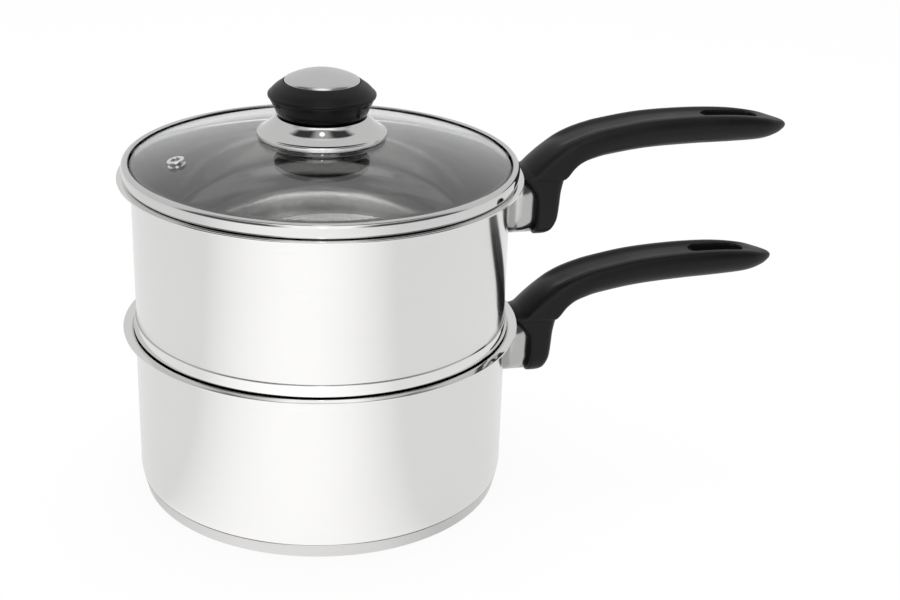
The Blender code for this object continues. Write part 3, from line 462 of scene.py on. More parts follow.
def make_piece(shape, name, body, finishes, stands_for=(), crease=35):
    """An object from a bmesh: smooth but for its creases, riding on its body."""
    mesh = bpy.data.meshes.new(name)
    shape.to_mesh(mesh)
    shape.free()
    for finish in finishes:
        mesh.materials.append(finish)
    mesh.shade_smooth()
    mesh.set_sharp_from_angle(angle=math.radians(crease))
    piece = bpy.data.objects.new(name, mesh)
    collection.objects.link(piece)
    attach(piece, body)
    if stands_for:
        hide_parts(*stands_for)
    print(name, len(mesh.polygons), "faces on", body)
    return piece


def give_sheet(piece, thickness, inner_finish=0):
    """A wall grown inwards, whose inner faces take the finish that stands so many after the outer's."""
    wall = piece.modifiers.new("sheet", "SOLIDIFY")
    wall.thickness = thickness
    wall.offset = -1.0
    wall.use_even_offset = True
    wall.material_offset = inner_finish


def soften(piece, width, segments=2, angle=50):
    """Small rounds on the edges that are sharper than this angle."""
    edge = piece.modifiers.new("edges", "BEVEL")
    edge.width = width
    edge.segments = segments
    edge.limit_method = "ANGLE"
    edge.angle_limit = math.radians(angle)


# %% [markdown]
# The pan is one disc of steel, drawn deep. Its rim is turned out and droops a little, so that soup pours
# clean off it. At the bottom the wall turns under in a large round, and just above the table it steps in
# by a millimetre, where the cup that closes the base is pressed on.

# %% Pan
PAN_RADIUS = 0.0912
PAN_TOP = 0.0843
PAN_FLOOR = 0.0058
SHEET = 0.0008
RIM_RADIUS = 0.0970
RIM_BEND = 0.0030
RIM_DROOP = 10
RIM_EDGE = 0.0003
RIM_EDGE_DROP = 0.87
SEAM_HEIGHT = 0.0075
SEAM_RADIUS = 0.09049
SEAM_STEP = 0.0010
CORNER_BEND = 0.0160
CORNER_MIDDLE = 0.0122
FLANGE_START = PAN_RADIUS + 0.0010


def flange(wall_radius, top, sheet, reach):
    """The underside of a turned-out rim, from its edge at this radius to the top of the wall."""
    bend = arc((wall_radius + RIM_BEND, top - sheet - RIM_BEND), RIM_BEND, 90 - RIM_DROOP, 180, 10)
    start = bend[0]
    edge_drop = (reach - start[0]) * math.tan(math.radians(RIM_DROOP))
    return [(reach, start[1] - edge_drop), (reach - RIM_EDGE, start[1] - edge_drop * RIM_EDGE_DROP)] + bend


pan_reach = RIM_RADIUS - SHEET * math.sin(math.radians(RIM_DROOP))
outline = flange(PAN_RADIUS, PAN_TOP, SHEET, pan_reach)
outline += [(PAN_RADIUS, 0.0790), (PAN_RADIUS, 0.0135)]
outline += arc((PAN_RADIUS - CORNER_BEND, CORNER_MIDDLE), CORNER_BEND, 0, -17.08, 8)
outline += [(SEAM_RADIUS - 0.0002, SEAM_HEIGHT), (SEAM_RADIUS - SEAM_STEP, SEAM_HEIGHT)]
outline += arc((SEAM_RADIUS - SEAM_STEP - 0.0012, PAN_FLOOR + 0.0012), 0.0012, 0, -90, 6)
outline += [(0.084, PAN_FLOOR), (0.0, PAN_FLOOR)]
pan_shape = turned(outline)
for face in pan_shape.faces:
    if face.calc_center_median().xy.length > FLANGE_START:
        face.material_index = 2

# Each finish of the sheet's outside is followed by that of its inside; the wall's inside is polished steel
# with its colour painted darker, as painted shade
pan_finishes = [SATIN_STEEL, SHADED_POLISHED_STEEL, SATIN_STEEL, MIRROR_STEEL]
pan = make_piece(pan_shape, "pan_shell", "pan", pan_finishes, ["pan_body"])
give_sheet(pan, SHEET, 1)
soften(pan, 0.0002)

# %% [markdown]
# A steel base alone would burn food where the flame is, so a disc of aluminium is pressed between the
# pan's floor and a thin steel cup. The cup's side leans in slightly towards the table, and its underside
# has a few turned rings, which keep it flat when it is hot and from sticking to a glass hob.

# %% Base cup
CUP_SHEET = 0.0006
FOOT_RADIUS = SEAM_RADIUS - 0.0015
FOOT_ROUND = 0.0010
RING_COUNT = 6
RING_PITCH = 0.0130
RING_OUTERMOST = 0.0780
RING_HALF = 0.0006
RING_DEPTH = 0.00025

outline = [(SEAM_RADIUS, SEAM_HEIGHT - 0.0003), (SEAM_RADIUS - 0.0001, 0.0067)]
outline += arc((FOOT_RADIUS - FOOT_ROUND, FOOT_ROUND), FOOT_ROUND, 0, -90, 6)
for ring in range(RING_COUNT):
    radius = RING_OUTERMOST - ring * RING_PITCH
    outline += [(radius + RING_HALF, 0.0), (radius, RING_DEPTH), (radius - RING_HALF, 0.0)]
outline += [(0.0, 0.0)]
base = make_piece(turned(outline), "base_cup", "pan", [BASE_STEEL], ["base_cap"])
give_sheet(base, CUP_SHEET)

# %% [markdown]
# The steamer sits in the pan's mouth on a short cone. Over the cone a polished bead stands out a little
# from the wall, and under it the wall is narrower and tapers, so that it drops in easily. Its floor has
# one hole in the middle and rings of six more each time. The holes are laid out as circles and the floor
# is filled round them, so that each hole is a clean cut, and then the floor joins the turned wall.

# %% Steamer wall
STEAMER_RADIUS = 0.0906
STEAMER_TOP = 0.1604
STEAMER_SHEET = 0.0006
WALL_TOP = 0.1550
SEAT = 0.0846
BEAD_RADIUS = 0.0920
BEAD_LEAN = 0.0007
BEAD_TOP = SEAT + 0.0053
BEAD_ROUND = 0.0003
CONE_RADIUS = 0.0903
CONE_FOOT = SEAT - 0.0026
NEST_RADIUS = 0.0885
NEST_TOP = CONE_FOOT - 0.0018
FLOOR = 0.0595
FLOOR_TOP = FLOOR + STEAMER_SHEET
FLOOR_EDGE = 0.0705
FLOOR_BEND = 0.0100

bead_shoulder = BEAD_RADIUS - BEAD_LEAN
bend_middle = (FLOOR_EDGE + 0.0015, FLOOR + FLOOR_BEND)
outer = flange(STEAMER_RADIUS, STEAMER_TOP, STEAMER_SHEET, RIM_RADIUS)
outer += [(STEAMER_RADIUS, height) for height in (WALL_TOP, BEAD_TOP + 0.0006, BEAD_TOP + 0.0003)]
outer += arc((bead_shoulder - BEAD_ROUND, BEAD_TOP - BEAD_ROUND), BEAD_ROUND, 90, 7, 5)
outer += [(bead_shoulder + 0.00003, BEAD_TOP - 0.0005), (BEAD_RADIUS - 0.00004, SEAT + 0.0006)]
outer += arc((BEAD_RADIUS - BEAD_ROUND, SEAT + BEAD_ROUND), BEAD_ROUND, 7, -33, 4)
outer += [(BEAD_RADIUS - 0.0002, SEAT), (CONE_RADIUS + 0.0001, CONE_FOOT + 0.00015)]
outer += [(CONE_RADIUS, CONE_FOOT), (NEST_RADIUS + 0.0005, CONE_FOOT - 0.0010), (NEST_RADIUS, NEST_TOP)]
outer += arc(bend_middle, FLOOR_BEND, 0, -90, 10)
outer += [(FLOOR_EDGE, FLOOR)]

inner_radius = STEAMER_RADIUS - STEAMER_SHEET
rim_bend = RIM_BEND + STEAMER_SHEET
inner = [(FLOOR_EDGE, FLOOR_TOP)] + arc(bend_middle, FLOOR_BEND - STEAMER_SHEET, -90, 0, 10)
inner += [(NEST_RADIUS - STEAMER_SHEET, NEST_TOP), (inner_radius, SEAT + 0.0010)]
inner += [(inner_radius, SEAT + 0.0024), (inner_radius, WALL_TOP)]
inner += arc((inner_radius + rim_bend, STEAMER_TOP - rim_bend), rim_bend, 180, 90 - RIM_DROOP, 10)
inner += [(RIM_RADIUS, outer[0][1] + STEAMER_SHEET)]
steamer_shape = turned(inner + outer)
print("steamer wall turned,", len(steamer_shape.faces), "faces")


# %% Steamer floor
HOLE_RINGS = 5
HOLE_PITCH = 0.0132
HOLE_RADIUS = 0.00175
HOLE_STEPS = 16
MOUTH_RADIUS = 0.0935
SATIN, SHADED_INSIDE, SHADED_FLOOR, MIRROR = range(4)


def level_circle(shape, segments, radius, place):
    """The points of a level circle."""
    spot = Matrix.Translation(place)
    return bmesh.ops.create_circle(shape, segments=segments, radius=radius, matrix=spot)["verts"]


def drilled_floor(shape, radius, height, thickness):
    """A disc with its holes, filled round circles, then given its thickness downwards; counts the holes."""
    places = [(0.0, 0.0)]
    for ring in range(1, HOLE_RINGS + 1):
        for index in range(6 * ring):
            turn = 2 * math.pi * index / (6 * ring)
            places.append((HOLE_PITCH * ring * math.cos(turn), HOLE_PITCH * ring * math.sin(turn)))
    border = level_circle(shape, POT_STEPS, radius, (0, 0, height))
    for x, y in places:
        border += level_circle(shape, HOLE_STEPS, HOLE_RADIUS, (x, y, height))
    edges = list({edge for vert in border for edge in vert.link_edges})
    filled = bmesh.ops.triangle_fill(shape, use_beauty=True, edges=edges, normal=(0, 0, 1))
    plate = [item for item in filled["geom"] if isinstance(item, bmesh.types.BMFace)]
    grown = bmesh.ops.extrude_face_region(shape, geom=plate, use_keep_orig=True)
    moved = [item for item in grown["geom"] if isinstance(item, bmesh.types.BMVert)]
    bmesh.ops.translate(shape, verts=moved, vec=(0, 0, -thickness))
    rim = [
        face
        for face in shape.faces
        if abs(face.normal.z) < 0.5 and all(vert.co.xy.length > radius - WELD for vert in face.verts)
    ]
    bmesh.ops.delete(shape, geom=rim, context="FACES_ONLY")
    return len(places)


floor_shape = bmesh.new()
holes = drilled_floor(floor_shape, FLOOR_EDGE, FLOOR_TOP, STEAMER_SHEET)
floor_mesh = bpy.data.meshes.new("floor_plate")
floor_shape.to_mesh(floor_mesh)
floor_shape.free()
steamer_shape.from_mesh(floor_mesh)
bpy.data.meshes.remove(floor_mesh)
bmesh.ops.remove_doubles(steamer_shape, verts=steamer_shape.verts, dist=0.00001)
face_outwards(steamer_shape)
# Faces that look in take steel with its colour painted darker than the outside's: painted shade
for face in steamer_shape.faces:
    centre = face.calc_center_median()
    radius = centre.xy.length
    looks_in = face.normal.xy.dot(centre.xy) < 0 or face.normal.z > 0.6
    on_bead = radius > STEAMER_RADIUS + 0.0001 and centre.z < BEAD_TOP + 0.0001
    on_flange = radius > MOUTH_RADIUS and centre.z > BEAD_TOP and face.normal.z > 0
    if on_bead or on_flange:
        face.material_index = MIRROR
    elif looks_in and centre.z < FLOOR_TOP + 0.0090:
        face.material_index = SHADED_FLOOR
    elif looks_in and radius < MOUTH_RADIUS:
        face.material_index = SHADED_INSIDE
    else:
        face.material_index = SATIN
steamer_finishes = [SATIN_STEEL, SHADED_POLISHED_STEEL, SHADED_FLOOR_STEEL, MIRROR_STEEL]
make_piece(
    steamer_shape, "steamer_shell", "steamer", steamer_finishes, ["steamer_body"]
)
print(holes, "holes in the steamer's floor")

# %% [markdown]
# The lid is a dome of tempered glass, ground round at its edge and held in a rolled steel band. The glass
# is a closed solid of its true thickness, so that light bends twice on its way through it.

# %% Lid glass
LID_SEAT = 0.1607
LID_CREST = 0.1676
CROWN = 0.305
APEX = 0.1803
GLASS_RADIUS = 0.0922
GLASS_THICKNESS = 0.004
GLASS_BORE = 0.0032
GROUND_RADIUS = 0.0912
GLASS_BANDS = 28
GLASS_STEPS = 192


def dome(radius, under=0.0):
    """Height of the glass's top at this radius, or of the surface so far under it."""
    return APEX - CROWN + math.sqrt((CROWN - under) ** 2 - radius**2)


glass_run = GROUND_RADIUS - GLASS_BORE
glass_radii = [GLASS_BORE + glass_run * band / GLASS_BANDS for band in range(GLASS_BANDS + 1)]
top_edge = dome(GLASS_RADIUS) - 0.001
outline = [(radius, dome(radius)) for radius in glass_radii]
outline += [(0.0918, top_edge + 0.0007), (GLASS_RADIUS, top_edge), (GLASS_RADIUS, top_edge - 0.002)]
outline += [(0.0918, top_edge - 0.0027)]
outline += [(radius, dome(radius, GLASS_THICKNESS)) for radius in reversed(glass_radii)]
glass_shape = turned(outline, GLASS_STEPS, closed=True)
make_piece(glass_shape, "lid_dome", "lid", [LID_GLASS], ["lid_glass"])

# %% [markdown]
# The band is one strip of steel, rolled over the glass's edge at the top, round under it, and down inside
# the steamer as a skirt that keeps the lid in place.

# %% Lid band
BAND_SHEET = 0.0005
BAND_RADIUS = 0.0948
LIP_RADIUS = 0.0913
SHOULDER_BEND = 0.0023
BAND_FOOT_BEND = 0.0013
SKIRT_RADIUS = 0.0894
SKIRT_BEND = 0.0008
SKIRT_FOOT = 0.1515

ledge = dome(GROUND_RADIUS, GLASS_THICKNESS) - 0.0003 - BAND_SHEET
outline = [(LIP_RADIUS, LID_CREST - 0.0005)]
outline += arc((BAND_RADIUS - SHOULDER_BEND, LID_CREST - SHOULDER_BEND), SHOULDER_BEND, 90, 0, 10)
outline += arc((BAND_RADIUS - BAND_FOOT_BEND, LID_SEAT + BAND_FOOT_BEND), BAND_FOOT_BEND, 0, -90, 8)
outline += [(0.0920, ledge - 0.0002), (GROUND_RADIUS, ledge)]
outline += arc((SKIRT_RADIUS + SKIRT_BEND, ledge - SKIRT_BEND), SKIRT_BEND, 90, 180, 6)
outline += [(SKIRT_RADIUS, SKIRT_FOOT + 0.0007), (SKIRT_RADIUS, SKIRT_FOOT)]
band = make_piece(turned(outline), "lid_band", "lid", [TRIM_STEEL], ["lid_rim"])
give_sheet(band, BAND_SHEET)

# %% [markdown]
# Steam leaves through a small flanged tube in the glass. It is turned like the rest, then tipped so that
# it stands square to the dome where it sits.

# %% Vent eyelet
VENT_OFFSET = 0.071
VENT_TURN = math.radians(188.3)
VENT_BORE = 0.0022
VENT_BARREL = 0.0031
VENT_FLANGE = 0.0042

flare = VENT_FLANGE - 0.0004
under = -GLASS_THICKNESS - 0.0003
outline = arc((VENT_BORE + 0.0005, 0.0007), 0.0005, 180, 80, 5)
outline += arc((flare, 0.0006), 0.0004, 70, -60, 6)
outline += [(VENT_BARREL, 0.0003), (VENT_BARREL, under), (VENT_FLANGE, under)]
outline += [(VENT_FLANGE, under - 0.0003), (VENT_BARREL, under - 0.0008), (VENT_BORE, under - 0.0008)]
vent_shape = turned(outline, SMALL_STEPS, closed=True)
vent_x = VENT_OFFSET * math.cos(VENT_TURN)
vent_y = VENT_OFFSET * math.sin(VENT_TURN)
square_out = Vector((vent_x, vent_y, dome(VENT_OFFSET) - (APEX - CROWN)))
tip = square_out.to_track_quat("Z", "Y").to_matrix()
bmesh.ops.rotate(vent_shape, verts=vent_shape.verts, matrix=tip)
bmesh.ops.translate(vent_shape, verts=vent_shape.verts, vec=(vent_x, vent_y, dome(VENT_OFFSET)))
make_piece(vent_shape, "vent_tube", "lid", [MIRROR_STEEL], ["vent_eyelet"])

# %% [markdown]
# Under the knob a steel dish slopes outwards from a flat shoulder and hides the hole in the glass. The
# grip above it is a double cone of phenolic, and a domed steel cap is pressed into its top.

# %% Knob dish
KNOB_BORE = 0.0048
KNOB_BASE = 0.1885
DISH_SHEET = 0.0007
DISH_ROUND = 0.0008
DISH_SHOULDER = 0.0215
DISH_START = 0.0221
DISH_RUN = 0.0075
DISH_RADIUS = 0.0308
DISH_STEPS = 24
LEAN_START = 38
LEAN_GAIN = 20

dish_foot = dome(DISH_RADIUS) + 0.0003
outline = [(KNOB_BORE, KNOB_BASE), (0.0180, KNOB_BASE)]
outline += arc((DISH_SHOULDER, KNOB_BASE - DISH_ROUND), DISH_ROUND, 90, LEAN_START, 6)
for step in range(1, DISH_STEPS + 1):
    lean = math.radians(LEAN_START + LEAN_GAIN * step / DISH_STEPS)
    drop = DISH_RUN / DISH_STEPS / math.tan(lean)
    outline.append((DISH_START + DISH_RUN * step / DISH_STEPS, outline[-1][1] - drop))
edge_middle = DISH_RADIUS - DISH_ROUND
outline += [(edge_middle, outline[-1][1] - 0.0001)]
outline += arc((edge_middle, outline[-1][1] - DISH_ROUND), DISH_ROUND, 80, 0, 6)
outline += [(DISH_RADIUS, dish_foot + 0.0002), (DISH_RADIUS, dish_foot)]
dish_shape = turned(outline, KNOB_STEPS)
dish = make_piece(dish_shape, "knob_dish", "lid", [TRIM_STEEL], ["knob_skirt"])
give_sheet(dish, DISH_SHEET)

# %% Knob grip
GRIP_BASE = 0.1888
GRIP_TOP = 0.2049
GRIP_WIDEST = 0.1984
GRIP_RADIUS = 0.0250
GRIP_MOUTH = 0.0190
GRIP_SWELL = 0.0007
CAP_SEAT = GRIP_TOP - 0.0017

outline = [(0.0, CAP_SEAT), (0.0181, CAP_SEAT), (0.0182, GRIP_TOP - 0.0003)]
outline += arc((0.0186, GRIP_TOP - 0.0004), 0.0004, 170, 60, 4)
for step in range(1, 10):
    share_down = step / 10
    swell = GRIP_SWELL * math.sin(math.pi * share_down)
    drop = (GRIP_TOP - 0.0003 - GRIP_WIDEST - 0.0009) * share_down
    outline.append((GRIP_MOUTH + (GRIP_RADIUS - GRIP_MOUTH) * share_down + swell, GRIP_TOP - 0.0003 - drop))
outline += arc((0.0244, GRIP_WIDEST), 0.0013, 48, -48, 8)
outline += [(0.0248, GRIP_WIDEST - 0.0016), (0.0215, GRIP_BASE + 0.0008), (0.0211, GRIP_BASE + 0.0003)]
outline += [(0.0206, GRIP_BASE), (KNOB_BORE, GRIP_BASE), (KNOB_BORE, 0.2000), (0.0, 0.2000)]
grip_shape = turned(outline, KNOB_STEPS)
# Faces below the widest ring take the darker phenolic: painted shade on the underside
for face in grip_shape.faces:
    below = face.calc_center_median().z < GRIP_WIDEST - 0.0012
    face.material_index = 1 if below else 0
grip_finishes = [BLACK_PHENOLIC, SHADED_PHENOLIC]
make_piece(grip_shape, "knob_ring", "lid", grip_finishes, ["knob_grip"])

# %% Knob cap
CAP_SHEET = 0.0008
CAP_RADIUS = 0.0179
CAP_RISE = 0.00468
CAP_EDGE = GRIP_TOP + 0.0008
DOMED_RADIUS = 0.0172
CAP_RINGS = 12

cap_sphere = (CAP_RADIUS**2 + CAP_RISE**2) / (2 * CAP_RISE)
sphere_middle = CAP_EDGE + CAP_RISE - cap_sphere
outline = []
for ring in range(CAP_RINGS + 1):
    radius = DOMED_RADIUS * ring / CAP_RINGS
    outline.append((radius, sphere_middle + math.sqrt(cap_sphere**2 - radius**2)))
outline += [(0.0176, CAP_EDGE), (CAP_RADIUS, GRIP_TOP + 0.0002), (CAP_RADIUS, GRIP_TOP - 0.0014)]
cap_shape = turned(outline, KNOB_STEPS)
cap = make_piece(cap_shape, "knob_disc", "lid", [CAP_STEEL], ["knob_cap"])
give_sheet(cap, CAP_SHEET)

# %% [markdown]
# Each handle is held by a screw that runs through its leg into a bracket inside a short oval tube, the
# ferrule. The tube is a ring of points drawn out along X, with its inner end laid onto the round wall.

# %% Ferrules
FERRULE_WIDTH = 0.0232
FERRULE_HEIGHT = 0.0320
FERRULE_END = 0.1066
FERRULE_SHEET = 0.0008
FERRULE_STEPS = 96
FERRULE_DROP = 0.0049
WALL_GAP = 0.0003
PAN_HANDLE_TOP = PAN_TOP + 0.0006


def bolt_height(rim_top):
    """The height of a ferrule's middle, and of the screw in it, for a handle that starts at this rim."""
    return rim_top - FERRULE_DROP - FERRULE_HEIGHT / 2


def oval(turn, width, height):
    """A point on an upright oval with straight sides, at this turn from sideways towards up."""
    radius = width / 2
    y = radius * math.cos(turn)
    z = radius * math.sin(turn)
    if abs(z) > 0.00001:
        z += math.copysign(height / 2 - radius, z)
    return y, z


def drawn_ring(count):
    """A bmesh with a ring of points that remember their number, and the ring's edges."""
    shape = bmesh.new()
    bmesh.ops.create_circle(shape, segments=count, radius=1.0)
    shape.verts.ensure_lookup_table()
    number = shape.verts.layers.int.new("number")
    ordered = sorted(shape.verts, key=lambda vert: math.atan2(vert.co.y, vert.co.x) % (2 * math.pi))
    for index, vert in enumerate(ordered):
        vert[number] = index
    return shape, number, list(shape.edges)


def put_ring(verts, number, points):
    """Moves each point of a ring to its place in a list."""
    for vert in verts:
        vert.co = points[vert[number]]


def drawn(rings):
    """A closed skin drawn through rings of points, with a face over each end."""
    shape, number, edges = drawn_ring(len(rings[0]))
    put_ring(shape.verts, number, rings[0])
    bmesh.ops.contextual_create(shape, geom=edges)
    for points in rings[1:]:
        grown = bmesh.ops.extrude_edge_only(shape, edges=edges)["geom"]
        put_ring([item for item in grown if isinstance(item, bmesh.types.BMVert)], number, points)
        edges = [item for item in grown if isinstance(item, bmesh.types.BMEdge)]
    bmesh.ops.contextual_create(shape, geom=edges)
    bmesh.ops.recalc_face_normals(shape, faces=shape.faces)
    return shape


def ferrule(tier, wall_radius, middle):
    """The polished tube between a wall and a handle, open at both ends."""
    shape, number, edges = drawn_ring(FERRULE_STEPS)
    points = []
    for index in range(FERRULE_STEPS):
        y, z = oval(2 * math.pi * index / FERRULE_STEPS, FERRULE_WIDTH, FERRULE_HEIGHT)
        points.append((math.sqrt((wall_radius + WALL_GAP) ** 2 - y * y), y, middle + z))
    put_ring(shape.verts, number, points)
    grown = bmesh.ops.extrude_edge_only(shape, edges=edges)["geom"]
    ends = [item for item in grown if isinstance(item, bmesh.types.BMVert)]
    put_ring(ends, number, [(FERRULE_END, y, z) for x, y, z in points])
    bmesh.ops.recalc_face_normals(shape, faces=shape.faces)
    shape.normal_update()
    if sum(face.normal.y * face.calc_center_median().y for face in shape.faces) < 0:
        bmesh.ops.reverse_faces(shape, faces=shape.faces)
    tube = make_piece(shape, f"{tier}_tube", tier, [SHADED_FERRULE_STEEL], [f"{tier}_ferrule"])
    give_sheet(tube, FERRULE_SHEET)


ferrule("pan", PAN_RADIUS, bolt_height(PAN_HANDLE_TOP))
ferrule("steamer", STEAMER_RADIUS, bolt_height(STEAMER_TOP))

# %% [markdown]
# The handle is moulded in one piece. Its nose meets the rim, then the grip rises in a knee and runs out
# nearly level, with a shallow channel for the thumb along its top and a slot near the tip to hang it by.
# Below the knee the leg, narrower by a step, comes down beside the ferrule. The grip is drawn through
# cross sections, which is how such a shape is drawn on paper: each row of the grip's table is one section,
# and a second table gives half of the section's outline, which is squarer at the nose.

# %% Sections of the handle
GRIP_LENGTH = 0.1434
GRIP_START = RIM_RADIUS + 0.0003

# Share of the length, top and underside above the rim, half width, crown, share of the nose's section
GRIP_ROWS = (
    (0.000, -0.0022, -0.0062, 0.0106, 0.0019, 1.00),
    (0.029, -0.0018, -0.0064, 0.0124, 0.0023, 1.00),
    (0.042, -0.0006, -0.0066, 0.0129, 0.0028, 1.00),
    (0.062, 0.0022, -0.0067, 0.0133, 0.0030, 1.00),
    (0.098, 0.0061, -0.0070, 0.0136, 0.0026, 1.00),
    (0.142, 0.0098, -0.0075, 0.0137, 0.0017, 1.00),
    (0.162, 0.0112, -0.0066, 0.0137, 0.0013, 0.92),
    (0.190, 0.0128, -0.0026, 0.0136, 0.0009, 0.72),
    (0.223, 0.0144, -0.0002, 0.0134, 0.0006, 0.45),
    (0.265, 0.0161, 0.0010, 0.0133, 0.0005, 0.18),
    (0.321, 0.0177, 0.0022, 0.0131, 0.0003, 0.00),
    (0.460, 0.0205, 0.0047, 0.0128, 0.0003, 0.00),
    (0.628, 0.0214, 0.0056, 0.0124, 0.0003, 0.00),
    (0.781, 0.0207, 0.0057, 0.0116, 0.0003, 0.00),
    (0.893, 0.0187, 0.0061, 0.0096, 0.0004, 0.00),
    (0.955, 0.0165, 0.0080, 0.0064, 0.0006, 0.00),
    (0.988, 0.0148, 0.0102, 0.0031, 0.0005, 0.00),
    (1.000, 0.0134, 0.0114, 0.0010, 0.0002, 0.00),
)

# Share of the half width, share of the way down, share of the channel's depth
GRIP_SECTION = (
    (0.00, 0.00, 1.00),
    (0.18, 0.00, 0.97),
    (0.36, 0.00, 0.78),
    (0.52, 0.00, 0.25),
    (0.60, 0.00, 0.00),
    (0.70, 0.00, 0.00),
    (0.82, 0.02, 0.00),
    (0.93, 0.12, 0.00),
    (1.00, 0.33, 0.00),
    (0.96, 0.55, 0.00),
    (0.78, 0.79, 0.00),
    (0.46, 0.95, 0.00),
    (0.00, 1.00, 0.00),
)
NOSE_SECTION = GRIP_SECTION[:7] + (
    (0.94, 0.12, 0.00),
    (0.98, 0.36, 0.00),
    (1.00, 0.70, 0.00),
    (0.985, 0.93, 0.00),
    (0.80, 0.995, 0.00),
    (0.00, 1.00, 0.00),
)

# Share of the height, inner and outer faces' shares of their runs, share of the width
LEG_ROWS = (
    (0.000, 1.20, -0.800, 0.12),
    (0.020, 1.08, -0.580, 0.36),
    (0.060, 1.02, -0.380, 0.62),
    (0.130, 1.00, -0.240, 0.85),
    (0.260, 1.00, -0.110, 0.99),
    (0.440, 1.02, -0.050, 1.00),
    (0.600, 0.94, -0.015, 1.00),
    (0.700, 0.72, 0.040, 1.00),
    (0.775, 0.44, 0.100, 1.00),
    (0.835, 0.22, 0.170, 0.99),
    (0.885, 0.50, 0.250, 0.97),
    (0.930, 1.00, 0.330, 0.94),
    (0.960, 1.40, 0.160, 0.90),
)


def smooth_rows(rows, steps):
    """Rows on a smooth curve through the given ones, with this many steps to each gap."""
    smooth = []
    last = len(rows) - 1
    for index in range(last):
        before, start = rows[max(index - 1, 0)], rows[index]
        end, after = rows[index + 1], rows[min(index + 2, last)]
        for step in range(steps):
            t = step / steps
            smooth.append(
                tuple(
                    b + 0.5 * t * (c - a + t * (2 * a - 5 * b + 4 * c - d + t * (3 * (b - c) + d - a)))
                    for a, b, c, d in zip(before, start, end, after)
                )
            )
    smooth.append(rows[last])
    return smooth


GRIP_CURVE = smooth_rows(GRIP_ROWS, 6)
SECTION_CURVE = smooth_rows(GRIP_SECTION, 4)
NOSE_CURVE = smooth_rows(NOSE_SECTION, 4)
LEG_CURVE = smooth_rows(LEG_ROWS, 6)
print(len(GRIP_CURVE), "sections along the grip,", len(SECTION_CURVE), "points down each side")


# %% Grip, leg and slot
RING_POINTS = 64
CHANNEL_DEPTH = 0.0014
CHANNEL_START = 0.0160
CHANNEL_END = 0.0120
CHANNEL_EASE = 0.0100
LEG_DROP = 0.0380
LEG_INSET = 0.0084
LEG_DEPTH = 0.0140
LEG_HALF = 0.0128
SLOT_HALF = 0.00475
SLOT_RUN = 0.0205
SLOT_TO_TIP = 0.0165

# How far the slot's mouth has grown, and how far above the grip's top, from the mouth inwards
SLOT_LIP = ((0.0016, 0.0020), (0.0010, 0.0001), (0.00045, -0.0004), (0.0001, -0.0011), (0.0, -0.0020))


def eased(value):
    """0 to 1, with a soft start and end."""
    value = min(max(value, 0.0), 1.0)
    return value * value * (3 - 2 * value)


def grip_rings(rim_top, tilt):
    """The grip's cross sections, from its nose at the rim to its tip."""
    rings = []
    for share_out, top, underside, half, crown, square in GRIP_CURVE:
        out = share_out * GRIP_LENGTH
        nearest_end = min(out - CHANNEL_START, GRIP_LENGTH - CHANNEL_END - out)
        channel = CHANNEL_DEPTH * eased(nearest_end / CHANNEL_EASE)
        high = rim_top + top + out * math.tan(tilt)
        side = []
        for rounded, squared in zip(SECTION_CURVE, NOSE_CURVE):
            across, down, dip = (soft + square * (hard - soft) for soft, hard in zip(rounded, squared))
            fall = down * (top - underside) + (1 - down) * crown * (across / 0.8) ** 2 + dip * channel
            side.append((GRIP_START + out, across * half, high - fall))
        rings.append(side + [(x, -y, z) for x, y, z in reversed(side[1:-1])])
    return rings


def rounded_box(index, count, sharp_out, sharp_in):
    """A point round a box with soft corners, from -1 to 1 each way, sharper on one side than the other."""
    turn = 2 * math.pi * (index + 0.5) / count
    power = 2 / (sharp_out if math.cos(turn) > 0 else sharp_in)
    out = math.copysign(abs(math.cos(turn)) ** power, math.cos(turn))
    aside = math.copysign(abs(math.sin(turn)) ** power, math.sin(turn))
    return out, aside


def leg_rings(rim_top):
    """The leg's level sections, from its foot beside the ferrule up into the grip."""
    foot = rim_top - LEG_DROP
    rings = []
    for share_up, inner_part, outer_part, wide in LEG_CURVE:
        near = GRIP_START + inner_part * LEG_INSET
        far = RIM_RADIUS + LEG_INSET + (1 + outer_part) * LEG_DEPTH
        ring = []
        for index in range(RING_POINTS):
            out, aside = rounded_box(index, RING_POINTS, 3.4, 7.0)
            x = (near + far) / 2 + out * (far - near) / 2
            ring.append((x, aside * wide * LEG_HALF, foot + share_up * (rim_top - foot)))
        rings.append(ring)
    return rings


def carved(shape, cutter, name):
    """A bmesh of one shape less another."""
    both = []
    for label, part in (("body", shape), ("cutter", cutter)):
        mesh = bpy.data.meshes.new(f"{name}_{label}")
        part.to_mesh(mesh)
        part.free()
        holder = bpy.data.objects.new(f"{name}_{label}", mesh)
        collection.objects.link(holder)
        both.append(holder)
    cut = both[0].modifiers.new("cut", "BOOLEAN")
    cut.operation = "DIFFERENCE"
    cut.solver = "EXACT"
    cut.object = both[1]
    graph = bpy.context.evaluated_depsgraph_get()
    result = bpy.data.meshes.new_from_object(both[0].evaluated_get(graph))
    left = bmesh.new()
    left.from_mesh(result)
    for holder in both:
        bpy.data.objects.remove(holder, do_unlink=True)
    bpy.data.meshes.remove(result)
    return left


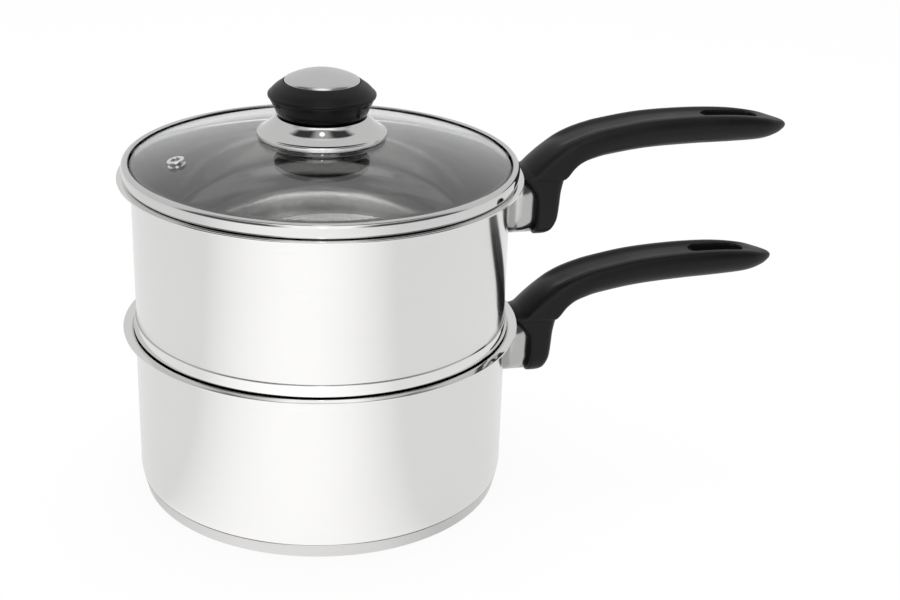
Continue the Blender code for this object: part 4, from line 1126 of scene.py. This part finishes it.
def slot_cutter(rings):
    """A stadium that follows the grip's top and underside, flared at each mouth so that the edge is round."""
    heights = [(ring[0][0], max(p[2] for p in ring), min(p[2] for p in ring)) for ring in rings]

    def level(x, column):
        for low, high in zip(heights, heights[1:]):
            if low[0] <= x <= high[0]:
                part = (x - low[0]) / (high[0] - low[0])
                return low[column] + part * (high[column] - low[column])
        return heights[-1][column]

    far = RIM_RADIUS + GRIP_LENGTH - SLOT_TO_TIP - SLOT_HALF
    near = far - SLOT_RUN
    layers = [(1, grow, lift) for grow, lift in SLOT_LIP]
    layers += [(2, grow, -lift) for grow, lift in reversed(SLOT_LIP)]
    stack = []
    for column, grow, lift in layers:
        ring = []
        for index in range(RING_POINTS):
            turn = 2 * math.pi * (index + 0.5) / RING_POINTS
            centre = far if math.cos(turn) > 0 else near
            x = centre + (SLOT_HALF + grow) * math.cos(turn)
            y = (SLOT_HALF + grow) * math.sin(turn)
            ring.append((x, y, level(x, column) + lift))
        stack.append(ring)
    return drawn(stack)


def rod(radius, start, end, height):
    """A round rod along X, from one place to another at this height."""
    shape = bmesh.new()
    bmesh.ops.create_cone(
        shape, cap_ends=True, segments=SMALL_STEPS, radius1=radius, radius2=radius, depth=end - start
    )
    bmesh.ops.rotate(shape, verts=shape.verts, matrix=Matrix.Rotation(math.radians(90), 3, "Y"))
    bmesh.ops.translate(shape, verts=shape.verts, vec=((start + end) / 2, 0, height))
    return shape


# %% Handles
SCREW_HOLE_RADIUS = 0.0053
SCREW_SEAT = 0.1131
BEYOND_LEG = 0.1350


def handle(tier, rim_top, tilt):
    """A grip with its slot and a leg with its screw hole, as one piece."""
    rings = grip_rings(rim_top, tilt)
    grip = carved(drawn(rings), slot_cutter(rings), f"{tier}_grip")
    hole = rod(SCREW_HOLE_RADIUS, SCREW_SEAT, BEYOND_LEG, bolt_height(rim_top))
    leg = carved(drawn(leg_rings(rim_top)), hole, f"{tier}_leg")
    leg_mesh = bpy.data.meshes.new(f"{tier}_leg")
    leg.to_mesh(leg_mesh)
    leg.free()
    grip.from_mesh(leg_mesh)
    bpy.data.meshes.remove(leg_mesh)
    make_piece(grip, f"{tier}_grip", tier, [BLACK_PHENOLIC], [f"{tier}_handle"], 32)


handle("pan", PAN_HANDLE_TOP, math.radians(1.5))
handle("steamer", STEAMER_TOP, 0.0)

# %% [markdown]
# The pieces that stay hidden in normal use keep their CAD shapes and only get their finishes.

# %% Finishes for the carried-over pieces
CARRIED = {
    "base_core_disc": CORE_ALUMINIUM,
    "pan_handle_bracket": FIXING_STEEL,
    "pan_handle_screw": FIXING_STEEL,
    "pan_screw_washer": FIXING_STEEL,
    "steamer_handle_bracket": FIXING_STEEL,
    "steamer_handle_screw": FIXING_STEEL,
    "steamer_screw_washer": FIXING_STEEL,
    "knob_insert": TURNED_BRASS,
    "knob_screw": FIXING_STEEL,
    "knob_washer": FIXING_STEEL,
    "knob_gasket_lower": CLEAR_SILICONE,
    "knob_gasket_upper": CLEAR_SILICONE,
}
for node, finish in CARRIED.items():
    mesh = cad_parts[node].data
    mesh.materials.clear()
    mesh.materials.append(finish)
print(len(CARRIED), "CAD pieces finished")
